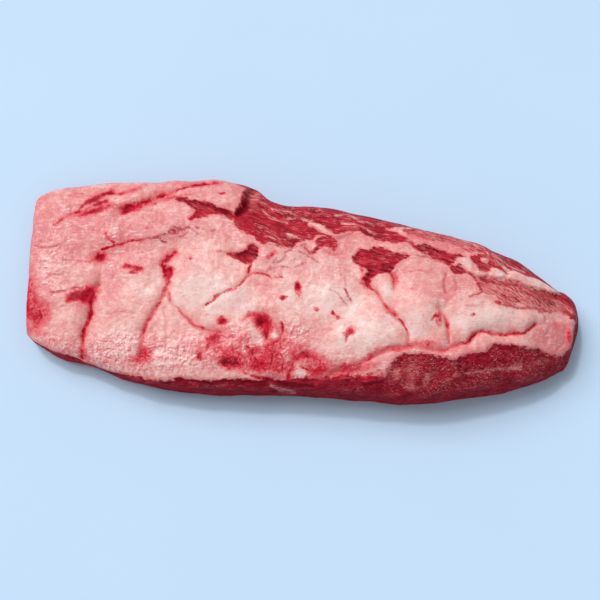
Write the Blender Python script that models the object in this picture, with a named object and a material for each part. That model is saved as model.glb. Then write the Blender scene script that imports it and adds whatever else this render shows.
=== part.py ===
"""Whole raw beef brisket, lying lean side down with its fat cap up.

The flat's square cut end is at -X and the rounded point is at +X. The body is a loft of closed
sections along X. The cap's creases, lobes and bare muscle windows are relief on the lofted skin.
Metres, +Z up, origin at the middle of the footprint's bounding box.
"""

import bpy
import numpy as np
from mathutils import Vector, noise

MM = 0.001

# Driving dimensions
LENGTH = 518 * MM  # cut end of the flat to the tip of the point, before the cut end's crown
HALF_LENGTH = LENGTH / 2
TIP_LENGTH = 17 * MM  # the blunt end closes over this much of the length
TIP_Y = -26 * MM
TIP_FRONT_TAPER = 2.2  # the tip closes sooner along the front than along the back
CUT_ROUNDING = 6 * MM  # plan radius where the sides turn into the cut end
CUT_EDGE_DROP = 5 * MM  # how far the cap rolls down at the cut end
CUT_BULGE = 3 * MM  # the cut end is slightly crowned
CUT_SKEW = 0.02  # the cut end leans this much in plan
BASE_TUCK = 7 * MM  # the base is this much inside the widest line on each side
WAIST_SHARE = 0.33  # height of the widest line, as a share of the thickness
WAIST_EXPONENT = 2.4  # section exponent below the widest line
CAP_THICKNESS = 10 * MM  # fat cap, from the top of the side down to the lean
RIM_STEP = 2.5 * MM  # the lean is set back this much under the cap's rim

# Plan edges and thickness at stations along X, in millimetres from the middle of the length
BACK_EDGE = [
    (-259, 98), (-238, 107), (-200, 111), (-140, 113), (-60, 110), (-44, 104), (-30, 94), (-18, 89),
    (10, 88), (50, 81), (100, 66), (150, 54), (188, 41), (215, 26), (242, 6),
]
FRONT_EDGE = [
    (-259, -40), (-240, -53), (-200, -67), (-160, -82), (-130, -89), (-60, -95), (0, -96), (60, -101),
    (110, -104), (150, -99), (188, -92), (225, -81), (242, -72),
]
THICKNESS = [
    (-259, 34), (-200, 40), (-130, 45), (-60, 51), (0, 56), (60, 63), (120, 69), (160, 67),
    (200, 58), (242, 40),
]
SHOULDER = [  # section exponent: high is a flat slab, 2 is an ellipse
    (-259, 5.0), (-150, 4.4), (-40, 3.8), (60, 2.9), (150, 2.4), (259, 2.2),
]

# Relief of the cap, in millimetres: plan points, then width and depth
CREASES = {
    "flat_left": ([(-192, 34), (-190, 14), (-195, -5), (-200, -28), (-206, -51), (-209, -66)], 6, 3.5),
    "flat_right": ([(-123, 34), (-131, 20), (-129, 0), (-138, -18), (-147, -38), (-147, -60)], 6, 3),
    "lobe_arc": ([(-127, -4), (-114, -22), (-95, -36), (-74, -42)], 6, 2.5),
    "cap_crack": ([(-92, -17), (-73, -1), (-50, 13), (-35, 12), (-21, 9)], 5, 2),
    "back_groove": ([(-174, 78), (-156, 86), (-130, 98), (-101, 104)], 6.5, 2.8),
    "hollow_side": ([(-46, -28), (-39, -32), (-34, -45)], 6, 4),
    "long_gap": ([(57, -2), (72, -19), (86, -36), (95, -50), (97, -60)], 6.5, 4.5),
    "short_gap": ([(115, -15), (124, -27), (130, -42), (131, -54)], 6, 3.2),
    "point_seam": (
        [(7, -88), (30, -81), (62, -69), (86, -60), (110, -61), (139, -56), (157, -47), (183, -44),
         (208, -38)], 6.5, 4,
    ),
    "tip_crease": ([(236, -53), (239, -40), (250, -29)], 6, 1.8),
}
WINDOWS = {  # plan outline, softness of the edge and depth
    "rear_muscle": (
        [(-64, 65), (-47, 50), (-36, 42), (-12, 38), (12, 50), (31, 56), (49, 60), (65, 48), (88, 41),
         (94, 45), (70, 60), (76, 72), (50, 95), (0, 110), (-46, 112)], 5, 2.8,
    ),
    "cap_window": (
        [(46, 31), (60, 36), (83, 31), (97, 29), (86, 20), (77, 12), (66, 8), (60, -3), (55, 3), (51, 19)],
        3, 3,
    ),
    "small_window": ([(-83, 36), (-61, 37), (-47, 42), (-43, 34), (-49, 20), (-55, 28), (-70, 34)], 3, 3.2),
    "back_window": (
        [(-124, 92), (-102, 90), (-80, 80), (-64, 70), (-79, 73), (-109, 70), (-104, 81)], 4, 2.2,
    ),
    "band_window": ([(104, 41), (129, 39), (147, 28), (134, 19), (117, 26)], 4, 1.6),
    "notch_hollow": ([(-52, 105), (-38, 91), (-42, 74), (-59, 63), (-67, 66), (-61, 82)], 10, 5.5),
    "back_right": (
        [(156, 29), (174, 35), (187, 46), (224, 26), (258, -2), (268, -20), (255, -26), (252, -12),
         (237, 3), (212, 12), (193, 17), (176, 17), (160, 18)], 4, 1.2,
    ),
    "point_muscle": (
        [(70, -92), (77, -79), (86, -67), (110, -65), (135, -69), (160, -64), (173, -56), (196, -59),
         (228, -62), (244, -51), (254, -24), (275, -24), (260, -120), (60, -120)], 4, 2.4,
    ),
}
LOBES = [  # plan centre, half length, half width and height
    (-92, 5, 38, 30, 3.0), (-10, -8, 44, 32, 2.5), (60, -42, 30, 20, 3.8), (104, -20, 19, 26, 4.0),
    (158, -22, 24, 17, 3.2), (196, -27, 26, 13, 3.0), (75, -4, 7, 12, 2.0), (-160, -8, 28, 42, 2.0),
    (-226, 0, 24, 46, 1.5), (-172, 58, 60, 16, 2.0), (-70, 92, 22, 12, 2.0), (-100, -62, 36, 16, 1.5),
    (153, 17, 13, 8, 1.4), (178, 12, 9, 6, 1.8), (212, 7, 24, 6, 1.8),
]
PITS = [  # plan centre, radius and depth
    (-71, -69, 5, 3.6), (-74, -31, 4, 2.2), (-248, -26, 7, 3.0), (-165, 81, 7, 2.6),
]
UNEVEN_SIZE = 26 * MM  # spacing of the skin's gentle unevenness
UNEVEN_HEIGHT = 1.6 * MM
UNEVEN_SEED = 7.3

# Mesh density
BODY_STATIONS = 94  # rings from the cut end to the start of the tip
TIP_STATIONS = 6  # rings that close the tip
CUT_RINGS = 4  # rings that close the cut end
SKIN_POINTS = 54  # points of a ring from base edge to base edge
BASE_POINTS = 3  # points of a ring across the flat base
SIDE_SHARE = 0.6  # a rise up the sides counts this much against a run across the cap in the spacing
FINE_POINTS = 400  # points that a section is drawn with before it is spaced evenly


def smooth_curve(points, x):
    """A curve through the points: cubic between them, with each slope the mean of its neighbours'."""
    knots, values = np.array(points, float).T
    slopes = np.gradient(values, knots)
    i = np.clip(np.searchsorted(knots, x) - 1, 0, len(knots) - 2)
    step = knots[i + 1] - knots[i]
    t = np.clip((x - knots[i]) / step, 0, 1)
    return (
        (1 + 2 * t) * (1 - t) ** 2 * values[i]
        + t * (1 - t) ** 2 * step * slopes[i]
        + t * t * (3 - 2 * t) * values[i + 1]
        + t * t * (t - 1) * step * slopes[i + 1]
    )


def rounded_power(part, exponent):
    """A superellipse's coordinate: a sine or cosine raised to 2 / exponent, keeping its sign."""
    return np.sign(part) * np.abs(part) ** (2 / exponent)


def soft_step(value, low, high):
    """0 below low, 1 above high, smooth between."""
    t = np.clip((value - low) / (high - low), 0, 1)
    return t * t * (3 - 2 * t)


def station_places():
    """Stations along X: even over the body, then closer together to the tip."""
    tip_start = HALF_LENGTH - TIP_LENGTH
    body = np.linspace(-HALF_LENGTH, tip_start, BODY_STATIONS)
    turn = np.linspace(0, np.pi / 2, TIP_STATIONS + 1)[1:-1]
    return np.concatenate([body, tip_start + TIP_LENGTH * np.sin(turn)])


def section_sizes(x):
    """Back and front edge, thickness, waist height and shoulder exponent of the sections at x."""
    back = smooth_curve(BACK_EDGE, x / MM) * MM
    front = smooth_curve(FRONT_EDGE, x / MM) * MM
    thick = smooth_curve(THICKNESS, x / MM) * MM
    waist = WAIST_SHARE * thick
    corner = np.clip(1 - (x + HALF_LENGTH) / CUT_ROUNDING, 0, 1)
    roll = 1 - np.sqrt(1 - corner**2)
    tip = np.sqrt(1 - np.clip((x - (HALF_LENGTH - TIP_LENGTH)) / TIP_LENGTH, 0, 1) ** 2)
    back = TIP_Y + (back - CUT_ROUNDING * roll - TIP_Y) * tip
    front = TIP_Y + (front + CUT_ROUNDING * roll - TIP_Y) * tip**TIP_FRONT_TAPER
    thick = waist + (thick - CUT_EDGE_DROP * roll - waist) * tip
    return back, front, thick, waist, smooth_curve(SHOULDER, x / MM)


def section_rings(x):
    """One closed ring for each station: up the back, over the cap, down the front, across the base."""
    back, front, thick, waist, shoulder = (size[:, None] for size in section_sizes(x))
    middle, half_width = (back + front) / 2, (back - front) / 2
    tuck = np.minimum(BASE_TUCK, half_width * 0.6)
    turn = np.linspace(0, np.pi, FINE_POINTS)[None, :]
    side = half_width - tuck * (1 - rounded_power(np.sin(turn / 2), WAIST_EXPONENT))
    low_z = waist * (1 - rounded_power(np.cos(turn / 2), WAIST_EXPONENT))
    over_y = middle + half_width * rounded_power(np.cos(turn), shoulder)
    over_z = waist + (thick - waist) * rounded_power(np.sin(turn), shoulder)
    y = np.concatenate([middle + side, over_y[:, 1:-1], middle - side[:, ::-1]], axis=1)
    z = np.concatenate([low_z, over_z[:, 1:-1], low_z[:, ::-1]], axis=1)
    return evenly_spaced(y, z)


def evenly_spaced(y, z):
    """Each open skin line redrawn with evenly spaced points, then closed along the flat base."""
    run = np.hypot(np.diff(y, axis=1), SIDE_SHARE * np.diff(z, axis=1)).cumsum(axis=1)
    run = np.concatenate([np.zeros((len(y), 1)), run], axis=1)
    rings = []
    for i in range(len(y)):
        at = np.linspace(0, run[i, -1], SKIN_POINTS)
        skin = np.stack([np.interp(at, run[i], y[i]), np.interp(at, run[i], z[i])], axis=1)
        share = np.linspace(0, 1, BASE_POINTS + 2)[1:-1, None]
        base = skin[-1] + (skin[0] - skin[-1]) * share
        rings.append(np.concatenate([skin, base]))
    return np.array(rings)


def lofted_points():
    """Points of the plain body, station by ring point, with the rings that close the cut end first."""
    x = station_places()
    rings = section_rings(x)
    points = np.concatenate([np.repeat(x[:, None, None], rings.shape[1], axis=1), rings], axis=2)
    first = points[0]
    heart = np.array([first[0, 0], first[:, 1].mean(), first[:, 2].max() / 2])
    closing = []
    for share in np.linspace(0, 1, CUT_RINGS + 1)[1:-1]:
        ring = heart + (first - heart) * share
        ring[:, 0] -= CUT_BULGE * (1 - share**2)
        closing.append(ring)
    points = np.concatenate([np.array(closing), points])
    fade = np.clip(1 - (points[..., 0] + HALF_LENGTH) / (LENGTH / 6), 0, 1)
    points[..., 0] += CUT_SKEW * fade**2 * (points[..., 1] - heart[1])
    return points


def outward(points):
    """Unit normals of the skin, from the cross product of its two directions."""
    along = np.gradient(points, axis=0)
    around = np.roll(points, -1, axis=1) - np.roll(points, 1, axis=1)
    normal = np.cross(around, along)
    return normal / np.maximum(np.linalg.norm(normal, axis=2, keepdims=True), 1e-12)


def curve_through(path, closed=False, pieces=6):
    """Points on a smooth curve through a plan path, in millimetres (Catmull-Rom spans)."""
    p = np.array(path, float)
    before, after = (p[-1:], p[:2]) if closed else (2 * p[:1] - p[1:2], 2 * p[-1:] - p[-2:-1])
    p = np.concatenate([before, p, after])
    t = np.linspace(0, 1, pieces, endpoint=False)[:, None]
    spans = [
        0.5 * (2 * b + (c - a) * t + (2 * a - 5 * b + 4 * c - d) * t**2 + (3 * b - a - 3 * c + d) * t**3)
        for a, b, c, d in zip(p, p[1:], p[2:], p[3:])
    ]
    return np.concatenate(spans + [p[-2:-1]])


def path_distance(plan, path):
    """Distance in the plan from each point to a path of straight pieces, in millimetres."""
    nearest = np.full(plan.shape[:-1], 1e6)
    for a, b in zip(path, path[1:]):
        leg = b - a
        t = np.clip(((plan - a) @ leg) / max(leg @ leg, 1e-9), 0, 1)[..., None]
        nearest = np.minimum(nearest, np.linalg.norm(plan - a - t * leg, axis=-1))
    return nearest


def depth_inside(plan, outline):
    """Distance to a closed outline, positive inside it."""
    inside = np.zeros(plan.shape[:-1], bool)
    for (ax, ay), (bx, by) in zip(outline, outline[1:]):
        if ay == by:
            continue
        crosses = (ay > plan[..., 1]) != (by > plan[..., 1])
        inside ^= crosses & (plan[..., 0] < ax + (plan[..., 1] - ay) * (bx - ax) / (by - ay))
    return np.where(inside, 1, -1) * path_distance(plan, outline)


def cap_relief(plan):
    """Height of the cap's lobes, creases, windows and pits over the plain body, in millimetres."""
    height = np.zeros(plan.shape[:-1])
    for x, y, half_length, half_width, lift in LOBES:
        off = np.hypot((plan[..., 0] - x) / half_length, (plan[..., 1] - y) / half_width)
        height += lift * soft_step(-off, -1.5, -0.3)
    for path, width, depth in CREASES.values():
        away = path_distance(plan, curve_through(path)) / width
        height -= depth * np.exp(-(away**2))
    for outline, softness, depth in WINDOWS.values():
        height -= depth * soft_step(depth_inside(plan, curve_through(outline, closed=True)), -1, softness)
    for x, y, radius, depth in PITS:
        off = np.hypot(plan[..., 0] - x, plan[..., 1] - y) / radius
        height -= depth * np.exp(-(off**2))
    return height


def rim_relief(points, thick):
    """The side's lean, set back under the rim of the fat cap, in metres."""
    under = thick - CAP_THICKNESS - points[..., 2]
    step = RIM_STEP * soft_step(under, -2 * MM, 3 * MM)
    return -step * soft_step(points[..., 2], 4 * MM, 14 * MM)


def uneven(points):
    """Seeded noise over the skin, from -1 to 1."""
    flat = points.reshape(-1, 3) / UNEVEN_SIZE + UNEVEN_SEED
    return np.array([noise.noise(Vector(p)) for p in flat]).reshape(points.shape[:-1])


def relieved_points():
    """The lofted skin with its relief: upright on the cap, square to the skin on the sides."""
    points = lofted_points()
    normal = outward(points)
    plan = points[..., :2] / MM
    faces_up = soft_step(normal[..., 2], 0.15, 0.6)
    thick = section_sizes(np.clip(points[..., 0], -HALF_LENGTH, HALF_LENGTH))[2]
    off_base = soft_step(points[..., 2], 1 * MM, 8 * MM)
    push = rim_relief(points, thick) * (1 - faces_up) + UNEVEN_HEIGHT * uneven(points) * off_base
    points = points + normal * push[..., None]
    points[..., 2] += cap_relief(plan) * MM * faces_up
    middle = (points.min(axis=(0, 1)) + points.max(axis=(0, 1))) / 2
    points[..., :2] -= middle[:2]
    return points


def skin_mesh(points):
    """A closed mesh: quads between neighbouring rings, and a fan at each end."""
    stations, around = points.shape[:2]
    corners = [tuple(p) for p in points.reshape(-1, 3)]
    faces = []
    for i in range(stations - 1):
        for j in range(around):
            k = (j + 1) % around
            faces.append((i * around + j, i * around + k, (i + 1) * around + k, (i + 1) * around + j))
    for end, ring in ((0, points[0]), (stations - 1, points[-1])):
        corners.append(tuple(ring.mean(axis=0)))
        for j in range(around):
            a, b = end * around + j, end * around + (j + 1) % around
            faces.append((len(corners) - 1, b, a) if end == 0 else (len(corners) - 1, a, b))
    mesh = bpy.data.meshes.new("brisket")
    mesh.from_pydata(corners, [], faces)
    mesh.update()
    return mesh


def raw_beef():
    """Moist fat cap and lean, as one plain finish."""
    material = bpy.data.materials.new("raw_beef")
    material.use_nodes = True
    shader = material.node_tree.nodes["Principled BSDF"]
    shader.inputs["Base Color"].default_value = (0.74, 0.34, 0.32, 1)
    shader.inputs["Roughness"].default_value = 0.42
    return material


def main():
    for thing in list(bpy.data.objects):
        bpy.data.objects.remove(thing)
    mesh = skin_mesh(relieved_points())
    mesh.materials.append(raw_beef())
    mesh.shade_smooth()
    brisket = bpy.data.objects.new("brisket", mesh)
    bpy.context.scene.collection.objects.link(brisket)


main()
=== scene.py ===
# A whole raw beef brisket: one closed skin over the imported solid, with its fat cap, bare muscle and creases.
# The scene is in metres with +Z up; the dictionaries give places and sizes in millimetres, x along the meat.
import bpy
import numpy as np
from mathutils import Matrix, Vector


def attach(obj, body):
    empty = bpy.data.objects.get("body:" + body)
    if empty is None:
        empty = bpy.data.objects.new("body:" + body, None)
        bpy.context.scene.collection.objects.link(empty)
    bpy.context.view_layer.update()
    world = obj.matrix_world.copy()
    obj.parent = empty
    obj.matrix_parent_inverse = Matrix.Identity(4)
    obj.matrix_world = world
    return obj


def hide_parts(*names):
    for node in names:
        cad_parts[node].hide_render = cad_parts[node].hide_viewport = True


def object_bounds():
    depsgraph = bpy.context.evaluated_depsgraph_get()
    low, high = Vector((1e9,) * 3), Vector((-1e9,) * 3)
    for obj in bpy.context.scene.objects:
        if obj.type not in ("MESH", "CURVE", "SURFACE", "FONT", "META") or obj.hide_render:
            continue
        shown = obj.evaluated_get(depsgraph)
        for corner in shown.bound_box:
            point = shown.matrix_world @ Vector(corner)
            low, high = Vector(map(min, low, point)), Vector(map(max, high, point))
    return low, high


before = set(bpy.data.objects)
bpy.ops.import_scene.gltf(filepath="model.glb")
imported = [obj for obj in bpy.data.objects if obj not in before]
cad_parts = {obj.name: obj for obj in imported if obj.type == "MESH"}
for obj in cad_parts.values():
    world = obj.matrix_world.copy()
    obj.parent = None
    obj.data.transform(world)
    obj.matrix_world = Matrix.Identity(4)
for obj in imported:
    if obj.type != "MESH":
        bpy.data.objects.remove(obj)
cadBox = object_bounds()
print("frame loaded", cadBox)

mm = 0.001


# ---- noise, worked out on whole arrays of points


def hashed(cell, seed):
    # three numbers from -1 to 1 for each whole-number cell, from its mixed bits
    cell = cell.astype(np.uint64)
    key = cell[..., 0] * np.uint64(73856093) ^ cell[..., 1] * np.uint64(19349663)
    key ^= cell[..., 2] * np.uint64(83492791) ^ np.uint64(seed * 2654435761 + 97)
    out = []
    for salt in (1, 2, 3):
        mix = (key + np.uint64(salt * 374761393)) & np.uint64(0xFFFFFFFF)
        mix = ((mix ^ (mix >> np.uint64(15))) * np.uint64(2246822519)) & np.uint64(0xFFFFFFFF)
        mix = ((mix ^ (mix >> np.uint64(13))) * np.uint64(3266489917)) & np.uint64(0xFFFFFFFF)
        out.append((mix ^ (mix >> np.uint64(16))).astype(float) / 2147483648.0 - 1)
    return np.stack(out, axis=-1)


def softNoise(points, seed):
    # gradient noise: a hashed slope at each of the cell's eight corners times the offset from it, blended
    cell = np.floor(points).astype(np.int64)
    part = points - cell
    blend = part**3 * (part * (part * 6 - 15) + 10)
    total = np.zeros(points.shape[:-1])
    for corner in np.ndindex(2, 2, 2):
        weight = np.prod(np.where(np.array(corner) == 1, blend, 1 - blend), axis=-1)
        total += weight * ((part - np.array(corner)) * hashed(cell + np.array(corner), seed)).sum(axis=-1)
    return total * 1.5


def layeredNoise(points, size, seed, layers=3):
    # softNoise at size, size / 2, size / 4 and so on, each half as strong
    return sum(softNoise(points / size * 2**k, seed + k) * 0.5**k for k in range(layers)) / 1.4


def lumpNoise(points, size, seed):
    # rounded cobbles: 1 at the nearest of one scattered centre per cell, falling with distance to 0
    scaled = points / size
    cell = np.floor(scaled).astype(np.int64)
    nearest = np.full(points.shape[:-1], 9.0)
    for step in np.ndindex(3, 3, 3):
        other = cell + np.array(step) - 1
        centre = other + 0.5 + 0.42 * hashed(other, seed)
        nearest = np.minimum(nearest, ((scaled - centre) ** 2).sum(axis=-1))
    return np.clip(1 - nearest, 0, 1)


# ---- curves and distances in the plan


def softStep(value, low, high):
    # 0 below low, 1 above high, a smooth S between
    t = np.clip((value - low) / (high - low), 0, 1)
    return t * t * (3 - 2 * t)


def smoothCurve(points, x):
    # cubic through the points, with each slope the mean of its neighbours'
    knots, values = np.array(points, float).T
    slopes = np.gradient(values, knots)
    i = np.clip(np.searchsorted(knots, x) - 1, 0, len(knots) - 2)
    step = knots[i + 1] - knots[i]
    t = np.clip((x - knots[i]) / step, 0, 1)
    return (
        (1 + 2 * t) * (1 - t) ** 2 * values[i]
        + t * (1 - t) ** 2 * step * slopes[i]
        + t * t * (3 - 2 * t) * values[i + 1]
        + t * t * (t - 1) * step * slopes[i + 1]
    )


def curveThrough(path, closed=False, pieces=5):
    # Catmull-Rom spans through the path's points
    p = np.array(path, float)
    before, after = (p[-1:], p[:2]) if closed else (2 * p[:1] - p[1:2], 2 * p[-1:] - p[-2:-1])
    p = np.concatenate([before, p, after])
    t = np.linspace(0, 1, pieces, endpoint=False)[:, None]
    spans = [
        0.5 * (2 * b + (c - a) * t + (2 * a - 5 * b + 4 * c - d) * t**2 + (3 * b - a - 3 * c + d) * t**3)
        for a, b, c, d in zip(p, p[1:], p[2:], p[3:])
    ]
    return np.concatenate(spans + [p[-2:-1]])


def pathDistance(plan, path, reach=30.0):
    # distance to a path of straight pieces, worked out only for points within reach of its box
    away = np.full(plan.shape[:-1], reach)
    low, high = path.min(axis=0) - reach, path.max(axis=0) + reach
    near = np.all((plan > low) & (plan < high), axis=-1)
    spots = plan[near]
    best = np.full(len(spots), reach)
    for a, b in zip(path, path[1:]):
        leg = b - a
        t = np.clip(((spots - a) @ leg) / max(leg @ leg, 1e-9), 0, 1)[:, None]
        best = np.minimum(best, np.linalg.norm(spots - a - t * leg, axis=-1))
    away[near] = best
    return away


def depthInside(plan, outline, reach=30.0):
    # distance to a smooth closed outline, positive inside it
    path = curveThrough(outline, closed=True)
    inside = np.zeros(plan.shape[:-1], bool)
    for (ax, ay), (bx, by) in zip(path, path[1:]):
        if ay != by:
            crosses = (ay > plan[..., 1]) != (by > plan[..., 1])
            inside ^= crosses & (plan[..., 0] < ax + (plan[..., 1] - ay) * (bx - ax) / (by - ay))
    return np.where(inside, 1, -1) * pathDistance(plan, path, reach)


def bell(away):
    # e to the power of minus the square: 1 at no distance, falling to 0 on both sides
    return np.exp(-(away**2))


def spotFalloff(plan, spot):
    # 1 at the middle of a turned oval spot, falling as a bell to 0
    x, y, longHalf, shortHalf, turn = spot[:5]
    turn = np.radians(turn)
    dx, dy = plan[..., 0] - x, plan[..., 1] - y
    along = (dx * np.cos(turn) + dy * np.sin(turn)) / longHalf
    across = (dy * np.cos(turn) - dx * np.sin(turn)) / shortHalf
    return np.exp(-(along**2 + across**2))


# ---- the body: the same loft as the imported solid, at a finer spacing

bodyShape = dict(
    halfLength=259.0,
    tipLength=17.0,
    tipY=-26.0,
    tipFrontTaper=2.2,  # power by which the front edge turns in at the tip sooner than the back edge
    cutRounding=6.0,  # radius of the cut end's upright edges
    cutEdgeDrop=5.0,
    cutBulge=3.0,
    cutSkew=0.02,  # slant of the cut end, x over y
    baseTuck=7.0,  # how far the sides turn in at the base
    waistShare=0.33,  # height of the widest place over the thickness
    waistExponent=2.4,
    # depth of the fat down the front and the back side, by x
    frontCap=[
        (-259, 9), (-230, 9), (-212, 11), (-200, 19), (-185, 16), (-165, 11), (-148, 10), (-138, 10),
        (-125, 11), (-110, 9), (-90, 9), (259, 9),
    ],
    backCap=[
        (-259, 15), (-150, 17), (-110, 19), (-90, 18), (-70, 15), (-50, 9), (-35, 9), (60, 9), (72, 10),
        (96, 20), (120, 26), (150, 25), (178, 13), (190, 10), (259, 10),
    ],
    rimStep=1.2,  # how far the muscle on the sides sits back under the cap's rim
    unevenSize=26.0,
    unevenHeight=1.6,
    # the outline seen from above, y by x
    backEdge=[
        (-259, 98), (-238, 107), (-200, 111), (-140, 113), (-60, 110), (-44, 104), (-30, 94), (-18, 89),
        (10, 88), (50, 81), (100, 66), (150, 54), (188, 41), (215, 26), (242, 6),
    ],
    frontEdge=[
        (-259, -40), (-240, -53), (-200, -67), (-160, -82), (-130, -89), (-60, -95), (0, -96),
        (60, -101), (110, -104), (150, -99), (188, -92), (225, -81), (242, -72),
    ],
    thickness=[
        (-259, 34), (-200, 40), (-130, 45), (-60, 51), (0, 56), (60, 63), (120, 69), (160, 67),
        (200, 58), (242, 40),
    ],
    # exponent of the section over the waist, by x: the higher the squarer
    shoulder=[(-259, 5.0), (-150, 4.4), (-40, 3.8), (60, 2.9), (150, 2.4), (259, 2.2)],
    stations=430,  # rings from the cut end to the start of the tip
    tipStations=14,
    cutRings=12,
    skinPoints=190,  # points of a ring from base edge to base edge
    basePoints=22,
    sideShare=0.75,  # a rise up the sides counts this much against a run across the cap
    finePoints=900,  # points of each curve of a ring before they are spaced evenly
)


def roundedPower(part, exponent):
    # a superellipse's coordinate: a sine or cosine to the power 2 / exponent
    return np.sign(part) * np.abs(part) ** (2 / exponent)


def sectionSizes(x, shape):
    # back and front edge, thickness, waist height and shoulder exponent at x, in millimetres
    half, tipLength, tipY = shape["halfLength"], shape["tipLength"], shape["tipY"]
    back, front = smoothCurve(shape["backEdge"], x), smoothCurve(shape["frontEdge"], x)
    thick = smoothCurve(shape["thickness"], x)
    waist = shape["waistShare"] * thick
    corner = np.clip(1 - (x + half) / shape["cutRounding"], 0, 1)
    roll = 1 - np.sqrt(1 - corner**2)
    tip = np.sqrt(1 - np.clip((x - (half - tipLength)) / tipLength, 0, 1) ** 2)
    back = tipY + (back - shape["cutRounding"] * roll - tipY) * tip
    front = tipY + (front + shape["cutRounding"] * roll - tipY) * tip ** shape["tipFrontTaper"]
    thick = waist + (thick - shape["cutEdgeDrop"] * roll - waist) * tip
    return back, front, thick, waist, smoothCurve(shape["shoulder"], x)


def sectionRings(x, shape):
    # closed rings: a superellipse quarter up each side below the waist, a superellipse over the cap
    back, front, thick, waist, shoulder = (size[:, None] for size in sectionSizes(x, shape))
    middle, halfWidth = (back + front) / 2, (back - front) / 2
    tuck = np.minimum(shape["baseTuck"], halfWidth * 0.6)
    turn = np.linspace(0, np.pi, shape["finePoints"])[None, :]
    side = halfWidth - tuck * (1 - roundedPower(np.sin(turn / 2), shape["waistExponent"]))
    lowZ = waist * (1 - roundedPower(np.cos(turn / 2), shape["waistExponent"]))
    overY = middle + halfWidth * roundedPower(np.cos(turn), shoulder)
    overZ = waist + (thick - waist) * roundedPower(np.sin(turn), shoulder)
    y = np.concatenate([middle + side, overY[:, 1:-1], middle - side[:, ::-1]], axis=1)
    z = np.concatenate([lowZ, overZ[:, 1:-1], lowZ[:, ::-1]], axis=1)
    run = np.hypot(np.diff(y, axis=1), shape["sideShare"] * np.diff(z, axis=1)).cumsum(axis=1)
    run = np.concatenate([np.zeros((len(y), 1)), run], axis=1)
    at = np.linspace(0, run[:, -1], shape["skinPoints"], axis=1)
    skin = np.array([
        (np.interp(want, have, ys), np.interp(want, have, zs)) for want, have, ys, zs in zip(at, run, y, z)
    ]).transpose(0, 2, 1)
    share = np.linspace(0, 1, shape["basePoints"] + 2)[None, 1:-1, None]
    base = skin[:, -1:] + (skin[:, :1] - skin[:, -1:]) * share
    return np.concatenate([skin, base], axis=1)


def loftedPoints(shape):
    # station by ring point, with the rings that close the cut end first
    half, tipLength = shape["halfLength"], shape["tipLength"]
    tipStart = half - tipLength
    turn = np.linspace(0, np.pi / 2, shape["tipStations"] + 1)[1:-1]
    plain = np.linspace(-half, tipStart, shape["stations"])
    x = np.concatenate([plain, tipStart + tipLength * np.sin(turn)])
    rings = sectionRings(x, shape)
    points = np.concatenate([np.repeat(x[:, None, None], rings.shape[1], axis=1), rings], axis=2)
    first = points[0]
    heart = np.array([first[0, 0], first[:, 1].mean(), first[:, 2].max() / 2])
    share = np.linspace(0, 1, shape["cutRings"] + 1)[1:-1, None, None]
    closing = heart + (first - heart) * share
    closing[..., 0] -= shape["cutBulge"] * (1 - share[..., 0] ** 2)
    points = np.concatenate([closing, points])
    fade = np.clip(1 - (points[..., 0] + half) / (half / 3), 0, 1)
    points[..., 0] += shape["cutSkew"] * fade**2 * (points[..., 1] - heart[1])
    return points


def outward(points):
    # unit normals from the cross product of the skin's two directions
    along = np.gradient(points, axis=0)
    around = np.roll(points, -1, axis=1) - np.roll(points, 1, axis=1)
    normal = np.cross(around, along)
    return normal / np.maximum(np.linalg.norm(normal, axis=2, keepdims=True), 1e-12)


# ---- where the bare muscle lies, and the relief of the cap

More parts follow.
